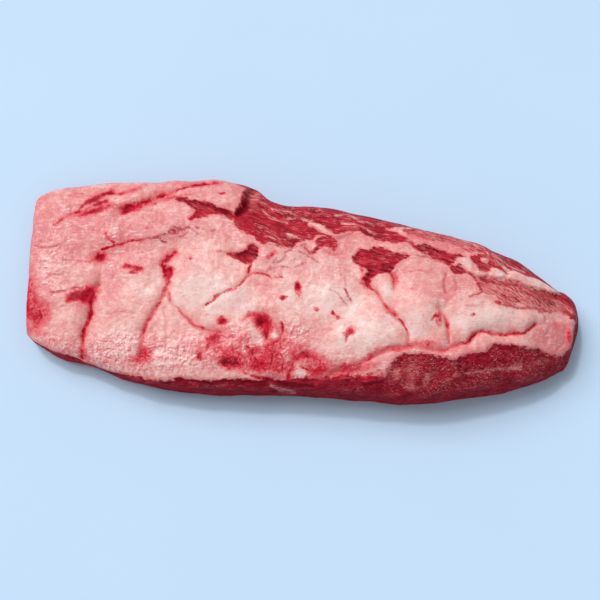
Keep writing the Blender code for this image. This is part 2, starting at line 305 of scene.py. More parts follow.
muscleAreas = dict(
    # closed outlines: points, sink of the muscle under the fat, softness of the edge
    rearMuscle=([
        (-55, 98), (-59, 88), (-62, 81), (-64, 75), (-66, 66), (-62, 60), (-56, 55), (-50, 52),
        (-43, 47), (-38, 43), (-29, 43), (-24, 41), (-17, 38), (-10, 39), (-3, 44), (6, 46), (13, 50),
        (18, 51), (24, 50), (30, 50), (37, 51), (44, 52), (50, 54), (58, 50), (63, 47), (69, 44),
        (76, 43), (83, 41), (89, 42), (96, 43), (91, 49), (83, 54), (75, 56), (70, 60), (74, 65),
        (80, 72), (50, 95), (0, 110), (-44, 116), (-52, 108),
    ], 2.6, 5),
    rearPatch=([
        (11, 45), (16, 50), (20, 51), (26, 49), (30, 43), (31, 37), (27, 35), (22, 38), (16, 37),
        (10, 33), (8, 34), (13, 39), (11, 43),
    ], 0.8, 3),
    capWindow=([
        (45, 28), (50, 34), (53, 36), (59, 34), (62, 36), (67, 37), (75, 35), (81, 32), (89, 30),
        (97, 28), (94, 25), (88, 22), (84, 18), (81, 14), (77, 12), (72, 12), (68, 11), (64, 8),
        (61, 3), (60, -1), (57, 0), (55, 5), (57, 10), (58, 15), (55, 18), (50, 20), (46, 24),
    ], 2.8, 3),
    smallWindow=([
        (-72, 34), (-61, 37), (-53, 39), (-51, 42), (-47, 44), (-43, 41), (-42, 36), (-43, 30),
        (-47, 25), (-51, 24), (-59, 27), (-65, 30),
    ], 3.2, 3),
    backWindow=([
        (-122, 91), (-113, 92), (-108, 89), (-102, 88), (-92, 87), (-87, 84), (-80, 80), (-72, 78),
        (-67, 75), (-65, 70), (-67, 67), (-72, 69), (-77, 73), (-83, 73), (-92, 72), (-100, 71),
        (-107, 69), (-106, 72), (-102, 77), (-106, 81), (-112, 85), (-118, 87),
    ], 2.2, 4),
    notchHollow=([
        (-51, 112), (-42, 104), (-44, 88), (-50, 77), (-60, 70), (-66, 70), (-63, 79), (-58, 88),
        (-56, 100),
    ], 6.0, 7),
    bandTwo=([
        (98, 43), (106, 40), (113, 41), (119, 37), (126, 35), (133, 32), (144, 30), (147, 27),
        (139, 24), (137, 20), (132, 19), (127, 22), (119, 24), (114, 28), (108, 32), (102, 38),
    ], 1.5, 3),
    darkPatch=([(134, 16), (140, 19), (145, 18), (149, 12), (145, 10), (138, 10), (135, 13)], 0.8, 2),
    nubRed=([
        (155, 29), (164, 32), (174, 32), (178, 26), (181, 17), (174, 17), (166, 12), (160, 15),
        (158, 20), (155, 24),
    ], 1.2, 3),
    backRight=([
        (172, 36), (187, 48), (205, 38), (224, 28), (242, 16), (258, 0), (268, -20), (264, -32),
        (256, -27), (250, -27), (239, -21), (229, -17), (220, -13), (216, -8), (222, -3), (232, -1),
        (238, 2), (230, 6), (222, 9), (212, 12), (202, 16), (195, 18), (189, 15), (185, 20), (178, 26),
    ], 1.2, 3),
    edgeZone=([
        (92, 56), (104, 61), (118, 59), (132, 55), (146, 49), (160, 43), (170, 37), (162, 36),
        (153, 39), (142, 42), (131, 45), (120, 46), (108, 49), (98, 51),
    ], 0.4, 3),
    fibreZone=([
        (160, 6), (171, 7), (186, 6), (200, 4), (212, 2), (224, 0), (235, -2), (238, -13), (229, -21),
        (218, -23), (206, -19), (188, -18), (179, -16), (172, -9), (163, -5),
    ], 0.8, 5),
)

# the cap's front edge: muscle shows in front of this line
capFrontLine = [
    (-262, -108), (-230, -108), (-200, -108), (-175, -108), (-160, -106), (-150, -98), (-143, -89),
    (-137, -85), (-131, -85), (-122, -84), (-112, -82), (-103, -83), (-93, -85), (-84, -86), (-75, -85),
    (-65, -84), (-51, -85), (-38, -84), (-28, -84), (-20, -87), (-10, -88), (6, -89), (15, -88),
    (25, -87), (36, -89), (47, -89), (61, -88), (68, -87), (74, -84), (77, -78), (80, -71), (85, -67),
    (93, -64), (102, -64), (113, -65), (123, -67), (132, -69), (137, -69), (144, -65), (152, -64),
    (161, -64), (165, -61), (168, -58), (174, -55), (183, -55), (190, -55), (197, -57), (207, -57),
    (218, -59), (223, -61), (228, -62), (237, -60), (243, -57), (247, -53), (249, -44), (254, -26),
    (262, -10),
]

fatIslands = dict(
    # fat that stands on the muscle: outline, height
    islandOne=([
        (139, 25), (146, 28), (151, 26), (155, 21), (156, 15), (162, 14), (169, 11), (165, 7), (158, 6),
        (152, 9), (147, 13), (142, 20),
    ], 1.8),
    islandTwo=([(169, 14), (172, 17), (178, 18), (182, 15), (186, 11), (183, 7), (176, 6), (170, 8)], 2.2),
    islandThree=([
        (187, 11), (190, 15), (195, 17), (202, 15), (211, 12), (222, 10), (234, 5), (241, 0), (234, -2),
        (226, -1), (215, 0), (206, 1), (196, 4), (189, 6),
    ], 2.2),
    islandNub=([(163, 25), (165, 28), (170, 28), (173, 26), (170, 23), (165, 23)], 1.0),
    islandStrip=([
        (174, 28), (179, 27), (184, 22), (190, 19), (192, 16), (186, 15), (180, 19), (175, 24),
    ], 0.8),
    rearTongue=([
        (4, 64), (10, 65), (18, 62), (24, 57), (29, 53), (37, 53), (44, 54), (40, 49), (32, 46),
        (27, 47), (21, 51), (14, 56), (7, 60),
    ], 1.4),
)

creases = dict(
    # path, half width, depth, blood along it
    flatLeft=([
        (-192, 8), (-195, 0), (-198, -10), (-198, -20), (-199, -26), (-202, -33), (-204, -41),
        (-205, -50), (-206, -60), (-206, -68),
    ], 3.1, 3.6, 0.9),
    flatLeftTop=([(-192, 34), (-190, 20), (-192, 8)], 2.6, 1.6, 0.35),
    flatRightTop=([(-121, 37), (-127, 31), (-131, 25), (-130, 18)], 3.2, 1.6, 0.95),
    flatRight=([
        (-127, 17), (-126, 6), (-130, -3), (-134, -13), (-139, -22), (-143, -29), (-146, -36),
        (-148, -45), (-149, -54), (-148, -62),
    ], 3.1, 3.0, 0.66),
    flatBranch=([(-128, -16), (-127, -25), (-126, -33), (-126, -45), (-128, -58)], 1.4, 0.8, 0.28),
    lobeArc=([
        (-126, -2), (-124, -10), (-119, -16), (-113, -22), (-108, -28), (-102, -33), (-94, -36),
        (-85, -39), (-76, -42),
    ], 2.4, 2.2, 0.55),
    capCrack=([
        (-90, -16), (-78, -7), (-69, -2), (-60, 2), (-55, 7), (-50, 12), (-43, 14), (-36, 13), (-29, 9),
        (-20, 9),
    ], 1.0, 1.6, 0.85),
    crackTail=([(-48, 25), (-50, 20), (-51, 15)], 1.4, 1.2, 0.9),
    windowTail=([(-86, 35), (-77, 36), (-68, 35)], 2.2, 0.8, 0.55),
    backGroove=([
        (-172, 80), (-163, 83), (-155, 86), (-147, 90), (-138, 94), (-130, 97), (-124, 100),
        (-115, 103), (-105, 106), (-93, 107), (-82, 108),
    ], 3.1, 3.0, 1.0),
    longGap=([
        (60, -1), (66, -7), (72, -16), (79, -25), (85, -32), (90, -38), (93, -44), (94, -50), (95, -58),
    ], 2.1, 4.2, 0.75),
    gapBranch=([(77, 13), (81, 9), (83, 2), (82, -5)], 1.7, 1.6, 0.6),
    shortGap=([(122, -24), (127, -31), (129, -38), (130, -46), (131, -54)], 1.9, 2.8, 0.6),
    shortGapTop=([(129, 10), (128, 2), (127, -6), (130, -14), (127, -22)], 2.4, 1.0, 0.3),
    pointSeam=([
        (7, -88), (20, -83), (32, -79), (47, -74), (60, -68), (70, -63), (80, -59), (95, -58),
        (105, -60), (116, -61), (126, -61), (134, -58), (141, -56), (148, -54), (151, -51), (156, -46),
    ], 1.9, 3.2, 0.7),
    pointSeamDeep=([
        (149, -53), (156, -46), (165, -45), (174, -46), (182, -46), (190, -44), (198, -44), (204, -41),
        (211, -36),
    ], 2.5, 3.4, 0.85),
    lobeTopLine=([(84, 8), (86, 14), (90, 20), (99, 25), (112, 24), (126, 20)], 1.6, 1.0, 0.25),
    lobeSideLine=([(110, -18), (118, -20), (123, -25)], 1.0, 0.8, 0.45),
    tipCrease=([(231, -57), (237, -52), (241, -47), (240, -40), (243, -35), (249, -33)], 1.3, 0.9, 0.4),
    tipCreaseTop=([(217, -22), (221, -27), (221, -31), (215, -36), (209, -38)], 1.6, 1.2, 0.4),
    frontArc=([(-14, -84), (-13, -77), (-9, -70), (-4, -64), (2, -62), (8, -66), (15, -69)], 2.4, 1.6, 0.85),
    frontStreak=([(-2, -74), (6, -78), (15, -77), (22, -74), (28, -74)], 1.5, 0.8, 0.75),
    frontStreakLow=([(6, -86), (15, -83), (25, -80), (32, -78)], 1.5, 0.8, 0.7),
    hollowSide=([(-41, -26), (-38, -32), (-35, -38), (-34, -46)], 3.2, 3.0, 1.0),
    hollowArc=([(-55, -31), (-50, -26), (-44, -24), (-38, -27)], 1.3, 0.8, 0.6),
    hollowLine=([(-20, -34), (-19, -42), (-22, -49), (-28, -54)], 1.6, 1.0, 0.85),
    hollowFork=([(-18, -48), (-8, -46), (4, -44)], 1.3, 0.6, 0.45),
    frontFold=([(-62, -71), (-55, -78), (-47, -81), (-38, -83), (-28, -84)], 1.5, 1.4, 0.85),
    netLine=([(-190, 41), (-178, 44), (-169, 46), (-162, 48), (-150, 50)], 1.7, 0.4, 0.95),
    netSide=([(-187, 57), (-184, 51), (-177, 47)], 2.2, 0.5, 0.7),
    pointGroove=([(116, -84), (115, -92), (114, -100)], 2.2, 2.4, 0.0),
    pointGrooveSide=([(101, -75), (100, -85)], 1.8, 1.2, 0.0),
    cheekLine=([(26, -26), (32, -29), (39, -35), (45, -40)], 1.2, 0.8, 0.3),
    cheekTurn=([(46, -42), (40, -46), (38, -53)], 1.8, 0.8, 0.5),
    topLine=([(-224, 97), (-218, 99), (-211, 99)], 1.0, 0.3, 0.6),
    topTail=([(-236, 67), (-228, 72), (-220, 77), (-210, 81)], 2.8, 0.5, 0.8),
    topStreak=([(-213, 84), (-206, 89), (-199, 93), (-192, 97), (-184, 99)], 4.0, 0.6, 1.0),
    topStreakEnd=([(-184, 99), (-175, 98), (-166, 100), (-156, 102)], 2.6, 0.4, 0.6),
    topStreakLow=([(-208, 82), (-201, 85), (-194, 87), (-187, 89)], 3.2, 0.4, 0.95),
    cutFold=([(-247, -14), (-246, -22), (-247, -28), (-249, -33)], 4.2, 1.6, 0.7),
    cutFoldTop=([(-251, -1), (-247, -8), (-246, -15)], 3.0, 0.6, 0.5),
    edgeStreakEnd=([(146, 38), (156, 37), (168, 34)], 1.3, 0.3, 0.7),
    stainFork=([(-44, -66), (-40, -72), (-35, -77)], 2.0, 0.8, 0.9),
    stainLine=([(-31, -50), (-33, -57), (-29, -64), (-30, -72)], 1.8, 0.7, 0.85),
    stainSide=([(-22, -60), (-19, -68), (-20, -77)], 1.6, 0.7, 0.8),
    stainLeft=([(-52, -54), (-47, -60), (-48, -67)], 1.5, 0.7, 0.75),
    stainRise=([(-84, -44), (-82, -50), (-87, -56)], 1.6, 0.7, 0.7),
    patchFork=([(11, 45), (14, 42), (12, 38), (8, 33)], 1.2, 0.3, 0.6),
)

paleStrands = [
    # paths of the long strands of fat on the muscle
    [(-38, 77), (-32, 71), (-25, 68), (-16, 65)],
    [(-33, 80), (-26, 79), (-14, 76), (-3, 72)],
    [(-41, 60), (-34, 59), (-27, 55)],
    [(-36, 51), (-28, 48)],
    [(-14, 53), (-6, 50)],
    [(-15, 70), (-2, 69), (10, 64)],
    [(-15, 53), (-2, 47)],
    [(30, 73), (39, 74), (47, 71), (53, 67), (60, 66), (66, 63)],
    [(36, 64), (48, 62), (58, 58), (66, 52)],
    [(135, -83), (149, -81), (162, -78), (175, -77), (187, -76), (198, -74)],
    [(-30, -90), (-23, -93), (-16, -94), (-8, -95)],
    [(176, 33), (186, 26), (196, 21), (206, 18)],
    [(232, -8), (242, -13), (250, -20)],
]

veinLines = [
    # thin dark lines in the fat: path, half width, strength
    ([(-153, 48), (-147, 50), (-141, 51), (-136, 53), (-129, 55), (-124, 58), (-121, 61)], 1.2, 0.8),
    ([(-126, 56), (-124, 59), (-120, 57), (-117, 61), (-113, 58), (-109, 61), (-105, 59)], 1.3, 0.9),
    ([(-138, 52), (-134, 50), (-132, 47), (-129, 46)], 1.1, 0.8),
    ([(-124, 55), (-119, 55), (-115, 58)], 1.1, 0.8),
    ([(-116, 52), (-112, 53), (-109, 56)], 1.1, 0.5),
    ([(-102, 61), (-98, 60), (-94, 59)], 1.1, 0.6),
    ([(-103, 58), (-100, 55), (-101, 52)], 1.1, 0.4),
    ([(-87, 57), (-83, 58)], 1.1, 0.5),
    ([(-254, 46), (-245, 44), (-233, 45)], 1.1, 0.6),
    ([(-236, 0), (-225, 1), (-216, 3), (-206, 4)], 1.1, 0.75),
    ([(-34, 16), (-29, 22), (-26, 28)], 1.1, 0.6),
    ([(-24, 24), (-20, 27), (-16, 31)], 1.0, 0.6),
    ([(-17, 34), (-8, 38), (2, 41)], 1.1, 0.6),
    ([(-13, 24), (-8, 28)], 1.0, 0.5),
    ([(23, -3), (29, -6), (34, -12), (39, -18)], 1.1, 0.35),
    ([(37, -3), (40, -8), (43, -14)], 1.1, 0.7),
    ([(1, 38), (4, 35), (6, 32)], 1.0, 0.6),
    ([(38, 14), (37, 6), (38, 0)], 1.0, 0.3),
    ([(170, 40), (174, 31), (179, 22), (187, 12)], 1.2, 0.7),
    ([(104, 28), (117, 25), (130, 20), (136, 17)], 1.1, 0.6),
    ([(138, 11), (148, 11), (154, 8), (158, 2), (161, -5), (161, -8), (156, -11), (150, -13)], 1.1, 0.75),
    ([(129, 10), (127, 3), (128, -9)], 1.1, 0.4),
    ([(136, 7), (138, 0), (137, -8)], 1.1, 0.3),
    ([(160, 6), (168, 4), (176, 2), (186, 0)], 1.2, 0.7),
    ([(173, -17), (183, -20), (198, -21), (213, -20)], 1.2, 0.6),
    ([(97, 42), (105, 35), (113, 28)], 1.2, 0.5),
    ([(146, -21), (156, -22), (163, -18)], 1.0, 0.3),
    ([(40, -79), (47, -77), (53, -74)], 1.2, 0.8),
    ([(10, -89), (25, -88), (40, -91), (52, -90)], 1.3, 0.9),
    ([(180, 4), (190, 1), (202, 2)], 1.1, 0.6),
    ([(196, -4), (206, -6), (214, -10)], 1.1, 0.6),
    ([(176, -9), (186, -12), (196, -11)], 1.1, 0.5),
    ([(208, -2), (218, -6), (228, -9)], 1.1, 0.6),
    ([(-34, 16), (-22, 20), (-10, 19), (2, 23)], 1.0, 0.5),
    ([(-12, 36), (-2, 33), (8, 28), (14, 24)], 1.0, 0.5),
    ([(-229, 30), (-215, 31), (-200, 29)], 1.0, 0.35),
    ([(-226, -14), (-214, -13), (-207, -15)], 1.0, 0.35),
    ([(-182, -22), (-168, -20), (-156, -22)], 1.0, 0.3),
    ([(-240, 18), (-230, 17), (-221, 19)], 1.0, 0.35),
]

capLobes = [
    # plan centre, half length, half width, height: broad swells of the fat
    (-92, 5, 38, 30, 3.0), (-10, -8, 44, 32, 2.5), (60, -42, 30, 20, 3.8), (104, -20, 19, 26, 4.0),
    (158, -22, 24, 17, 3.2), (196, -27, 26, 13, 3.0), (75, -4, 7, 12, 2.0), (-160, -8, 28, 42, 2.0),
    (-226, 0, 24, 46, 1.5), (-172, 58, 60, 16, 2.0), (-70, 92, 22, 12, 2.0), (-100, -62, 36, 16, 1.5),
]

capPits = [
    # plan centre, radius, depth
    (-39, -34, 5, 4.0), (-71, -69, 4, 3.6), (-74, -31, 3.5, 2.2), (-248, -26, 6, 3.0),
    (-165, 81, 6, 2.6), (-5, -2, 3, 1.0), (-193, 33, 4, 1.2), (-127, 17, 3.5, 1.2), (43, -48, 4, 1.0),
]

capForm = dict(
    creaseDip=0.7,  # share of a crease's depth in its own width, and in the wider dip round it
    wideDip=0.45,
    wideReach=2.6,
    islandRise=1.0,  # islands rise this much more than their height, against the sink of the window
    pointDrop=2.4,  # step down from the cap to the muscle in front of the point
    pointStart=(60, 84),  # where the point begins along x
    edgeLip=0.9,  # how much the cap swells just behind its front edge
)


def frontDepth(plan):
    # distance in front of the cap's front edge, positive on the muscle side
    line = curveThrough(capFrontLine)
    ahead = np.interp(plan[..., 0], line[:, 0], line[:, 1]) > plan[..., 1]
    return np.where(ahead, 1, -1) * pathDistance(plan, line)


def sideCap(plan, shape):
    # depth of the fat down the sides, along the front and along the back
    front, back = smoothCurve(shape["frontCap"], plan[..., 0]), smoothCurve(shape["backCap"], plan[..., 0])
    return front + (back - front) * softStep(plan[..., 1], -25, 5)


def muscleDepth(plan, z, thick, shape):
    # distance inside the bare muscle: the windows, the front below the cap's edge, the other sides' lean
    depth = frontDepth(plan)
    for outline, sink, soft in muscleAreas.values():
        depth = np.maximum(depth, depthInside(plan, outline))
    depth = np.maximum(depth, thick - sideCap(plan, shape) - z)
    for outline, height in fatIslands.values():
        depth = np.minimum(depth, -depthInside(plan, outline))
    return depth


def capRelief(plan, share):
    # height over the plain body: swells and islands up, windows and pits down, creases down by share
    height = np.zeros(plan.shape[:-1])
    for x, y, halfLength, halfWidth, lift in capLobes:
        off = np.hypot((plan[..., 0] - x) / halfLength, (plan[..., 1] - y) / halfWidth)
        height += lift * softStep(-off, -1.5, -0.3)
    for path, width, depth, blood in creases.values():
        away = pathDistance(plan, curveThrough(path), 5 * width) / width
        dip = capForm["creaseDip"] * bell(away) + capForm["wideDip"] * bell(away / capForm["wideReach"])
        height -= share * depth * dip
    for outline, sink, soft in muscleAreas.values():
        height -= sink * softStep(depthInside(plan, outline), -1, soft)
    for outline, lift in fatIslands.values():
        height += (lift + capForm["islandRise"]) * softStep(depthInside(plan, outline), -1, 2.5)
    ahead = frontDepth(plan)
    height -= capForm["pointDrop"] * softStep(ahead, -1, 3) * softStep(plan[..., 0], *capForm["pointStart"])
    height += capForm["edgeLip"] * bell((ahead + 3) / 3)
    for x, y, radius, depth in capPits:
        off = np.hypot(plan[..., 0] - x, plan[..., 1] - y) / radius
        height -= depth * bell(off)
    return height


# ---- the cap's tones: where it is cream, blood-stained, cobbled, or veiled over the muscle

capTones = dict(
    # turned ovals: x, y, half length, half width, turn in degrees, strength
    cream=[
        (-92, 2, 40, 24, 15, 1.0), (-66, -18, 34, 13, 8, 0.95), (-58, -8, 26, 12, 0, 0.6),
        (-12, -12, 26, 16, 0, 0.6), (20, -14, 26, 18, 0, 0.95), (56, -46, 32, 20, 25, 1.0),
        (76, -8, 8, 13, -25, 1.0), (104, -36, 18, 20, 0, 1.0), (150, -34, 30, 15, 0, 1.0),
        (182, -30, 36, 12, 0, 0.9), (44, -20, 20, 16, 0, 0.8), (-152, 2, 26, 16, 0, 0.3),
        (-166, -30, 16, 16, 0, 0.45), (-222, -20, 14, 12, 0, 0.45), (150, 17, 15, 10, -30, 0.55),
        (177, 12, 11, 8, 0, 0.65), (210, 7, 26, 9, -18, 0.55), (-150, -58, 24, 14, 0, 0.2),
        (-95, 40, 26, 8, 0, 0.35), (-133, -30, 5, 20, 8, 0.45), (8, 22, 26, 10, 0, 0.4),
        (-43, -46, 7, 8, 40, 0.8), (150, -60, 14, 4, 10, 0.5), (-4, -80, 8, 8, 0, 1.0),
        (-22, 24, 12, 6, 0, 0.4), (-26, -45, 6, 5, 0, 0.8),
    ],
    blood=[  # blood that soaked the fat
        (-207, -4, 12, 6, 12, 1.0), (-215, -6, 7, 4, 0, 0.8), (-200, -4, 6, 9, 0, 1.0),
        (-190, 34, 6, 5, 0, 1.0), (-194, 32, 12, 8, 0, 0.35), (-126, 17, 5, 5, 0, 1.0),
        (-165, 23, 6, 2.4, 0, 1.0), (-155, 20, 6, 3, -20, 0.95), (-160, 17, 4, 1.8, 0, 0.8),
        (-75, -31, 4.2, 3.6, 0, 1.0), (-75, -31, 7, 6, 0, 0.3), (-95, -64, 2.4, 2.4, 0, 1.0),
        (-95, -62, 5, 5, 0, 0.35), (-70, -69, 7, 3.6, 0, 1.0), (-65, -68, 9, 6, -10, 0.75),
        (-39, -31, 6, 7, -40, 1.0), (-35, -40, 4, 8, -20, 0.9), (-48, -27, 9, 5, 20, 0.45),
        (-26, -40, 8, 10, 0, 0.35), (-18, -10, 4.5, 1.7, 12, 1.0), (-5, 0, 2.4, 5, 6, 1.0),
        (-4, -9, 5, 8, 0, 0.3), (11, -22, 2.6, 1.1, 0, 0.75), (26, -25, 1.5, 1.5, 0, 0.85),
        (30, -29, 5, 2.5, -30, 0.5), (-78, 95, 3, 1.6, 0, 0.95), (-106, 30, 1.8, 2, 0, 0.8),
        (-29, 32, 6, 2.6, 35, 0.8), (41, -44, 7, 4, 20, 0.7), (-167, 82, 7, 4.4, 16, 1.0),
        (-158, 84, 12, 5, 22, 0.6), (-199, 80, 21, 4, 12, 0.85), (-128, 91, 26, 3, 14, 0.5),
        (-104, 106, 14, 3, 0, 0.5), (-80, -8, 4.5, 2, 35, 0.6), (-64, -2, 5, 2, 30, 0.35),
        (-252, -8, 6, 32, 6, 0.5), (-259, -8, 4, 30, 3, 0.8), (-242, -20, 9, 16, 0, 0.5),
        (-81, -44, 5, 4, 0, 0.75), (-84, -49, 8, 5, 20, 0.45), (-30, -56, 7, 5, 0, 0.6),
        (-25, -62, 7, 5, 0, 0.5), (-41, -72, 7, 6, 0, 0.75), (-47, -59, 4, 3.4, 0, 0.75),
        (-34, -66, 17, 15, 0, 0.45), (-18, -73, 14, 10, 0, 0.5), (-20, -50, 10, 8, 0, 0.4),
        (12, -78, 22, 7, 8, 0.6), (-52, -72, 18, 7, 0, 0.4), (-2, -58, 12, 8, 0, 0.35),
        (0, -64, 9, 4, 0, 0.9), (12, -71, 9, 5, 0, 0.5), (20, -80, 16, 4, 8, 0.55),
        (38, -75, 12, 4, 18, 0.5), (-68, -60, 14, 8, 0, 0.5), (-84, -54, 14, 9, 20, 0.4),
        (-60, -46, 16, 6, -10, 0.35), (-30, -46, 14, 8, 0, 0.3), (60, -66, 8, 4, 25, 0.5),
        (80, -60, 14, 3, 0, 0.6), (50, -77, 22, 3, 16, 0.5), (122, -34, 5, 7, 0, 0.45),
        (108, -56, 16, 4, 0, 0.45), (-68, 72, 6, 4, -20, 0.8), (24, 32, 10, 4, -20, 0.4),
        (55, 3, 4, 6, 0, 0.6), (55, 16, 4, 6, 20, 0.5), (83, 6, 4, 9, 10, 0.5),
        (-146, -60, 8, 9, 0, 0.65), (-154, -66, 10, 6, 0, 0.45), (-204, -60, 5, 8, 0, 0.6),
        (232, -34, 10, 8, -20, 0.3), (245, -44, 4, 9, 0, 0.6), (176, -16, 3, 1.2, 0, 0.9),
        (153, -29, 3, 1.6, 0, 0.75), (117, -32, 5, 1.5, 40, 0.8), (-170, 50, 16, 6, 0, 0.25),
        (-147, 60, 3, 2, 0, 0.5), (112, 48, 12, 2.4, -14, 0.5), (150, 37, 9, 2, -25, 0.5),
        (104, 13, 16, 1.6, 0, 0.3), (100, -6, 14, 1.4, -4, 0.25), (6, 34, 5, 2, 0, 0.5),
        (-51, 92, 4, 14, -10, 0.6),
    ],
    clean=[  # lumps that the blood leaves bare
        (-4, -80, 8, 7, 0, 0.95), (-26, -45, 6, 5, 0, 0.9), (-41, -46, 11, 5, -43, 0.85),
        (-17, -64, 5, 6, 20, 0.5), (-44, -80, 9, 3, 0, 0.6), (16, -84, 12, 3, 20, 0.7),
    ],
    cobble=[  # fat in small white lumps
        (-176, -58, 28, 17, 0, 1.0), (-112, -62, 32, 16, 0, 0.8), (-55, -58, 26, 22, 0, 0.75),
        (-12, -66, 22, 18, 0, 0.8), (-241, 34, 15, 34, 0, 0.4), (-226, -48, 20, 9, -30, 0.6),
        (-180, 52, 14, 8, 0, 0.6), (-8, -42, 14, 8, 0, 0.8), (26, 16, 20, 12, 0, 0.2),
        (-152, -60, 16, 14, 0, 0.9), (206, -8, 26, 8, -12, 0.5), (166, 2, 12, 9, 0, 0.5),
        (226, -44, 14, 10, 0, 0.35), (-196, 90, 26, 8, 16, 0.2), (30, -70, 20, 8, 0, 0.4),
    ],
    veil=[  # membrane over the muscle
        (114, 54, 18, 8, -14, 0.6), (146, 45, 22, 7, -18, 0.6), (178, -6, 28, 13, -6, 1.0),
        (206, -11, 24, 11, -14, 0.95), (230, -16, 12, 5, -10, 0.7), (174, 30, 10, 5, -20, 0.45),
        (83, -85, 4, 3, 0, 0.6), (97, -92, 6, 3, -10, 0.6), (112, -86, 3, 6, -30, 0.7),
        (128, -89, 6, 2, 20, 0.5), (193, -73, 8, 2, 8, 0.4), (216, -68, 9, 2, 12, 0.4),
        (-46, 92, 7, 11, 0, 0.5), (76, -76, 3, 7, 0, 0.8), (84, -80, 5, 3, 0, 0.7),
        (98, -80, 4, 8, 0, 0.5),
    ],
    rosy=[  # redder fat
        (-40, 3, 13, 7, 10, 1.0), (-38, -11, 16, 9, 0, 1.0), (-28, -20, 12, 6, 0, 0.5),
        (165, 4, 11, 8, 0, 0.6), (-206, 72, 44, 24, 6, 0.85), (-90, 96, 40, 10, 0, 0.5),
        (-165, 0, 30, 44, 0, 0.15), (-190, 40, 50, 40, 0, 0.2), (112, 16, 26, 8, -5, 0.4),
        (226, -44, 20, 14, 0, 0.6), (150, -60, 64, 5, 0, 0.65), (128, 44, 36, 8, -14, 0.8),
        (-240, 50, 20, 40, 0, 0.4), (-110, 108, 50, 5, 0, 0.45), (-200, 98, 40, 6, 6, 0.4),
        (176, -4, 20, 10, -12, 0.7), (-252, 10, 6, 50, 0, 0.5), (133, -10, 6, 18, 0, 0.45),
        (60, -72, 34, 8, 20, 0.65), (130, -46, 7, 10, 0, 0.5), (150, 36, 30, 6, -18, 0.3),
        (-130, -40, 10, 24, 0, 0.15), (206, -8, 18, 7, -12, 0.6), (88, -52, 7, 10, 0, 0.45),
        (-20, -90, 120, 4, 0, 0.3), (-150, 66, 40, 10, 6, 0.3), (168, 26, 6, 4, 0, 0.5),
        (94, -24, 5, 14, 30, 0.4), (-210, 60, 24, 14, 0, 0.2), (70, -60, 20, 5, 25, 0.3),
    ],
    dusky=[  # greyer fat
        (-4, 24, 30, 13, -8, 0.8), (-75, 102, 34, 14, 0, 0.7), (112, 14, 26, 14, 0, 0.6),
        (-108, 60, 26, 12, 0, 0.5), (40, 18, 14, 12, 0, 0.5), (226, -44, 20, 14, 0, 0.6),
        (150, 10, 20, 14, 0, 0.4), (-150, 52, 30, 12, 0, 0.3), (60, -72, 30, 8, 20, 0.4),
        (140, -58, 50, 6, 0, 0.4), (-40, 4, 16, 10, 0, 0.5), (-214, 20, 40, 40, 0, 0.15),
    ],
    bluish=[  # where the dark net of veins shows
        (-108, 60, 20, 6, 0, 0.8), (-122, 54, 14, 6, 16, 0.6), (-8, 24, 24, 10, -10, 0.7),
        (-30, 26, 14, 8, 0, 0.5), (14, 34, 14, 7, 0, 0.6), (-180, 54, 10, 6, -20, 0.4),
        (30, 26, 10, 8, 0, 0.4),
    ],
    pale=[  # the whitest fat
        (-61, -43, 8, 3, -48, 0.8), (-41, -55, 7, 3, -36, 0.8), (-10, -44, 9, 5, 0, 0.8),
        (-81, -60, 9, 4.5, -50, 0.9), (-176, -56, 24, 12, 0, 0.4), (-52, -64, 6, 4, -60, 0.7),
        (-4, -58, 6, 3, 20, 0.4), (16, -84, 12, 2.4, 24, 0.9), (-130, -66, 16, 8, 0, 0.3),
        (-158, -44, 6, 4, 0, 0.5), (56, -50, 12, 10, 0, 0.35), (-240, 24, 10, 14, 0, 0.12),
        (-2, -83, 4, 4, 0, 0.6),
    ],
)


def toneField(plan, spots):
    # overlapping spots join without adding past 1
    left = np.ones(plan.shape[:-1])
    for spot in spots:
        left *= 1 - np.clip(spot[5] * spotFalloff(plan, spot), 0, 1)
    return 1 - left


# ---- the skin: body, relief and fine texture together, and what the finish reads at each point

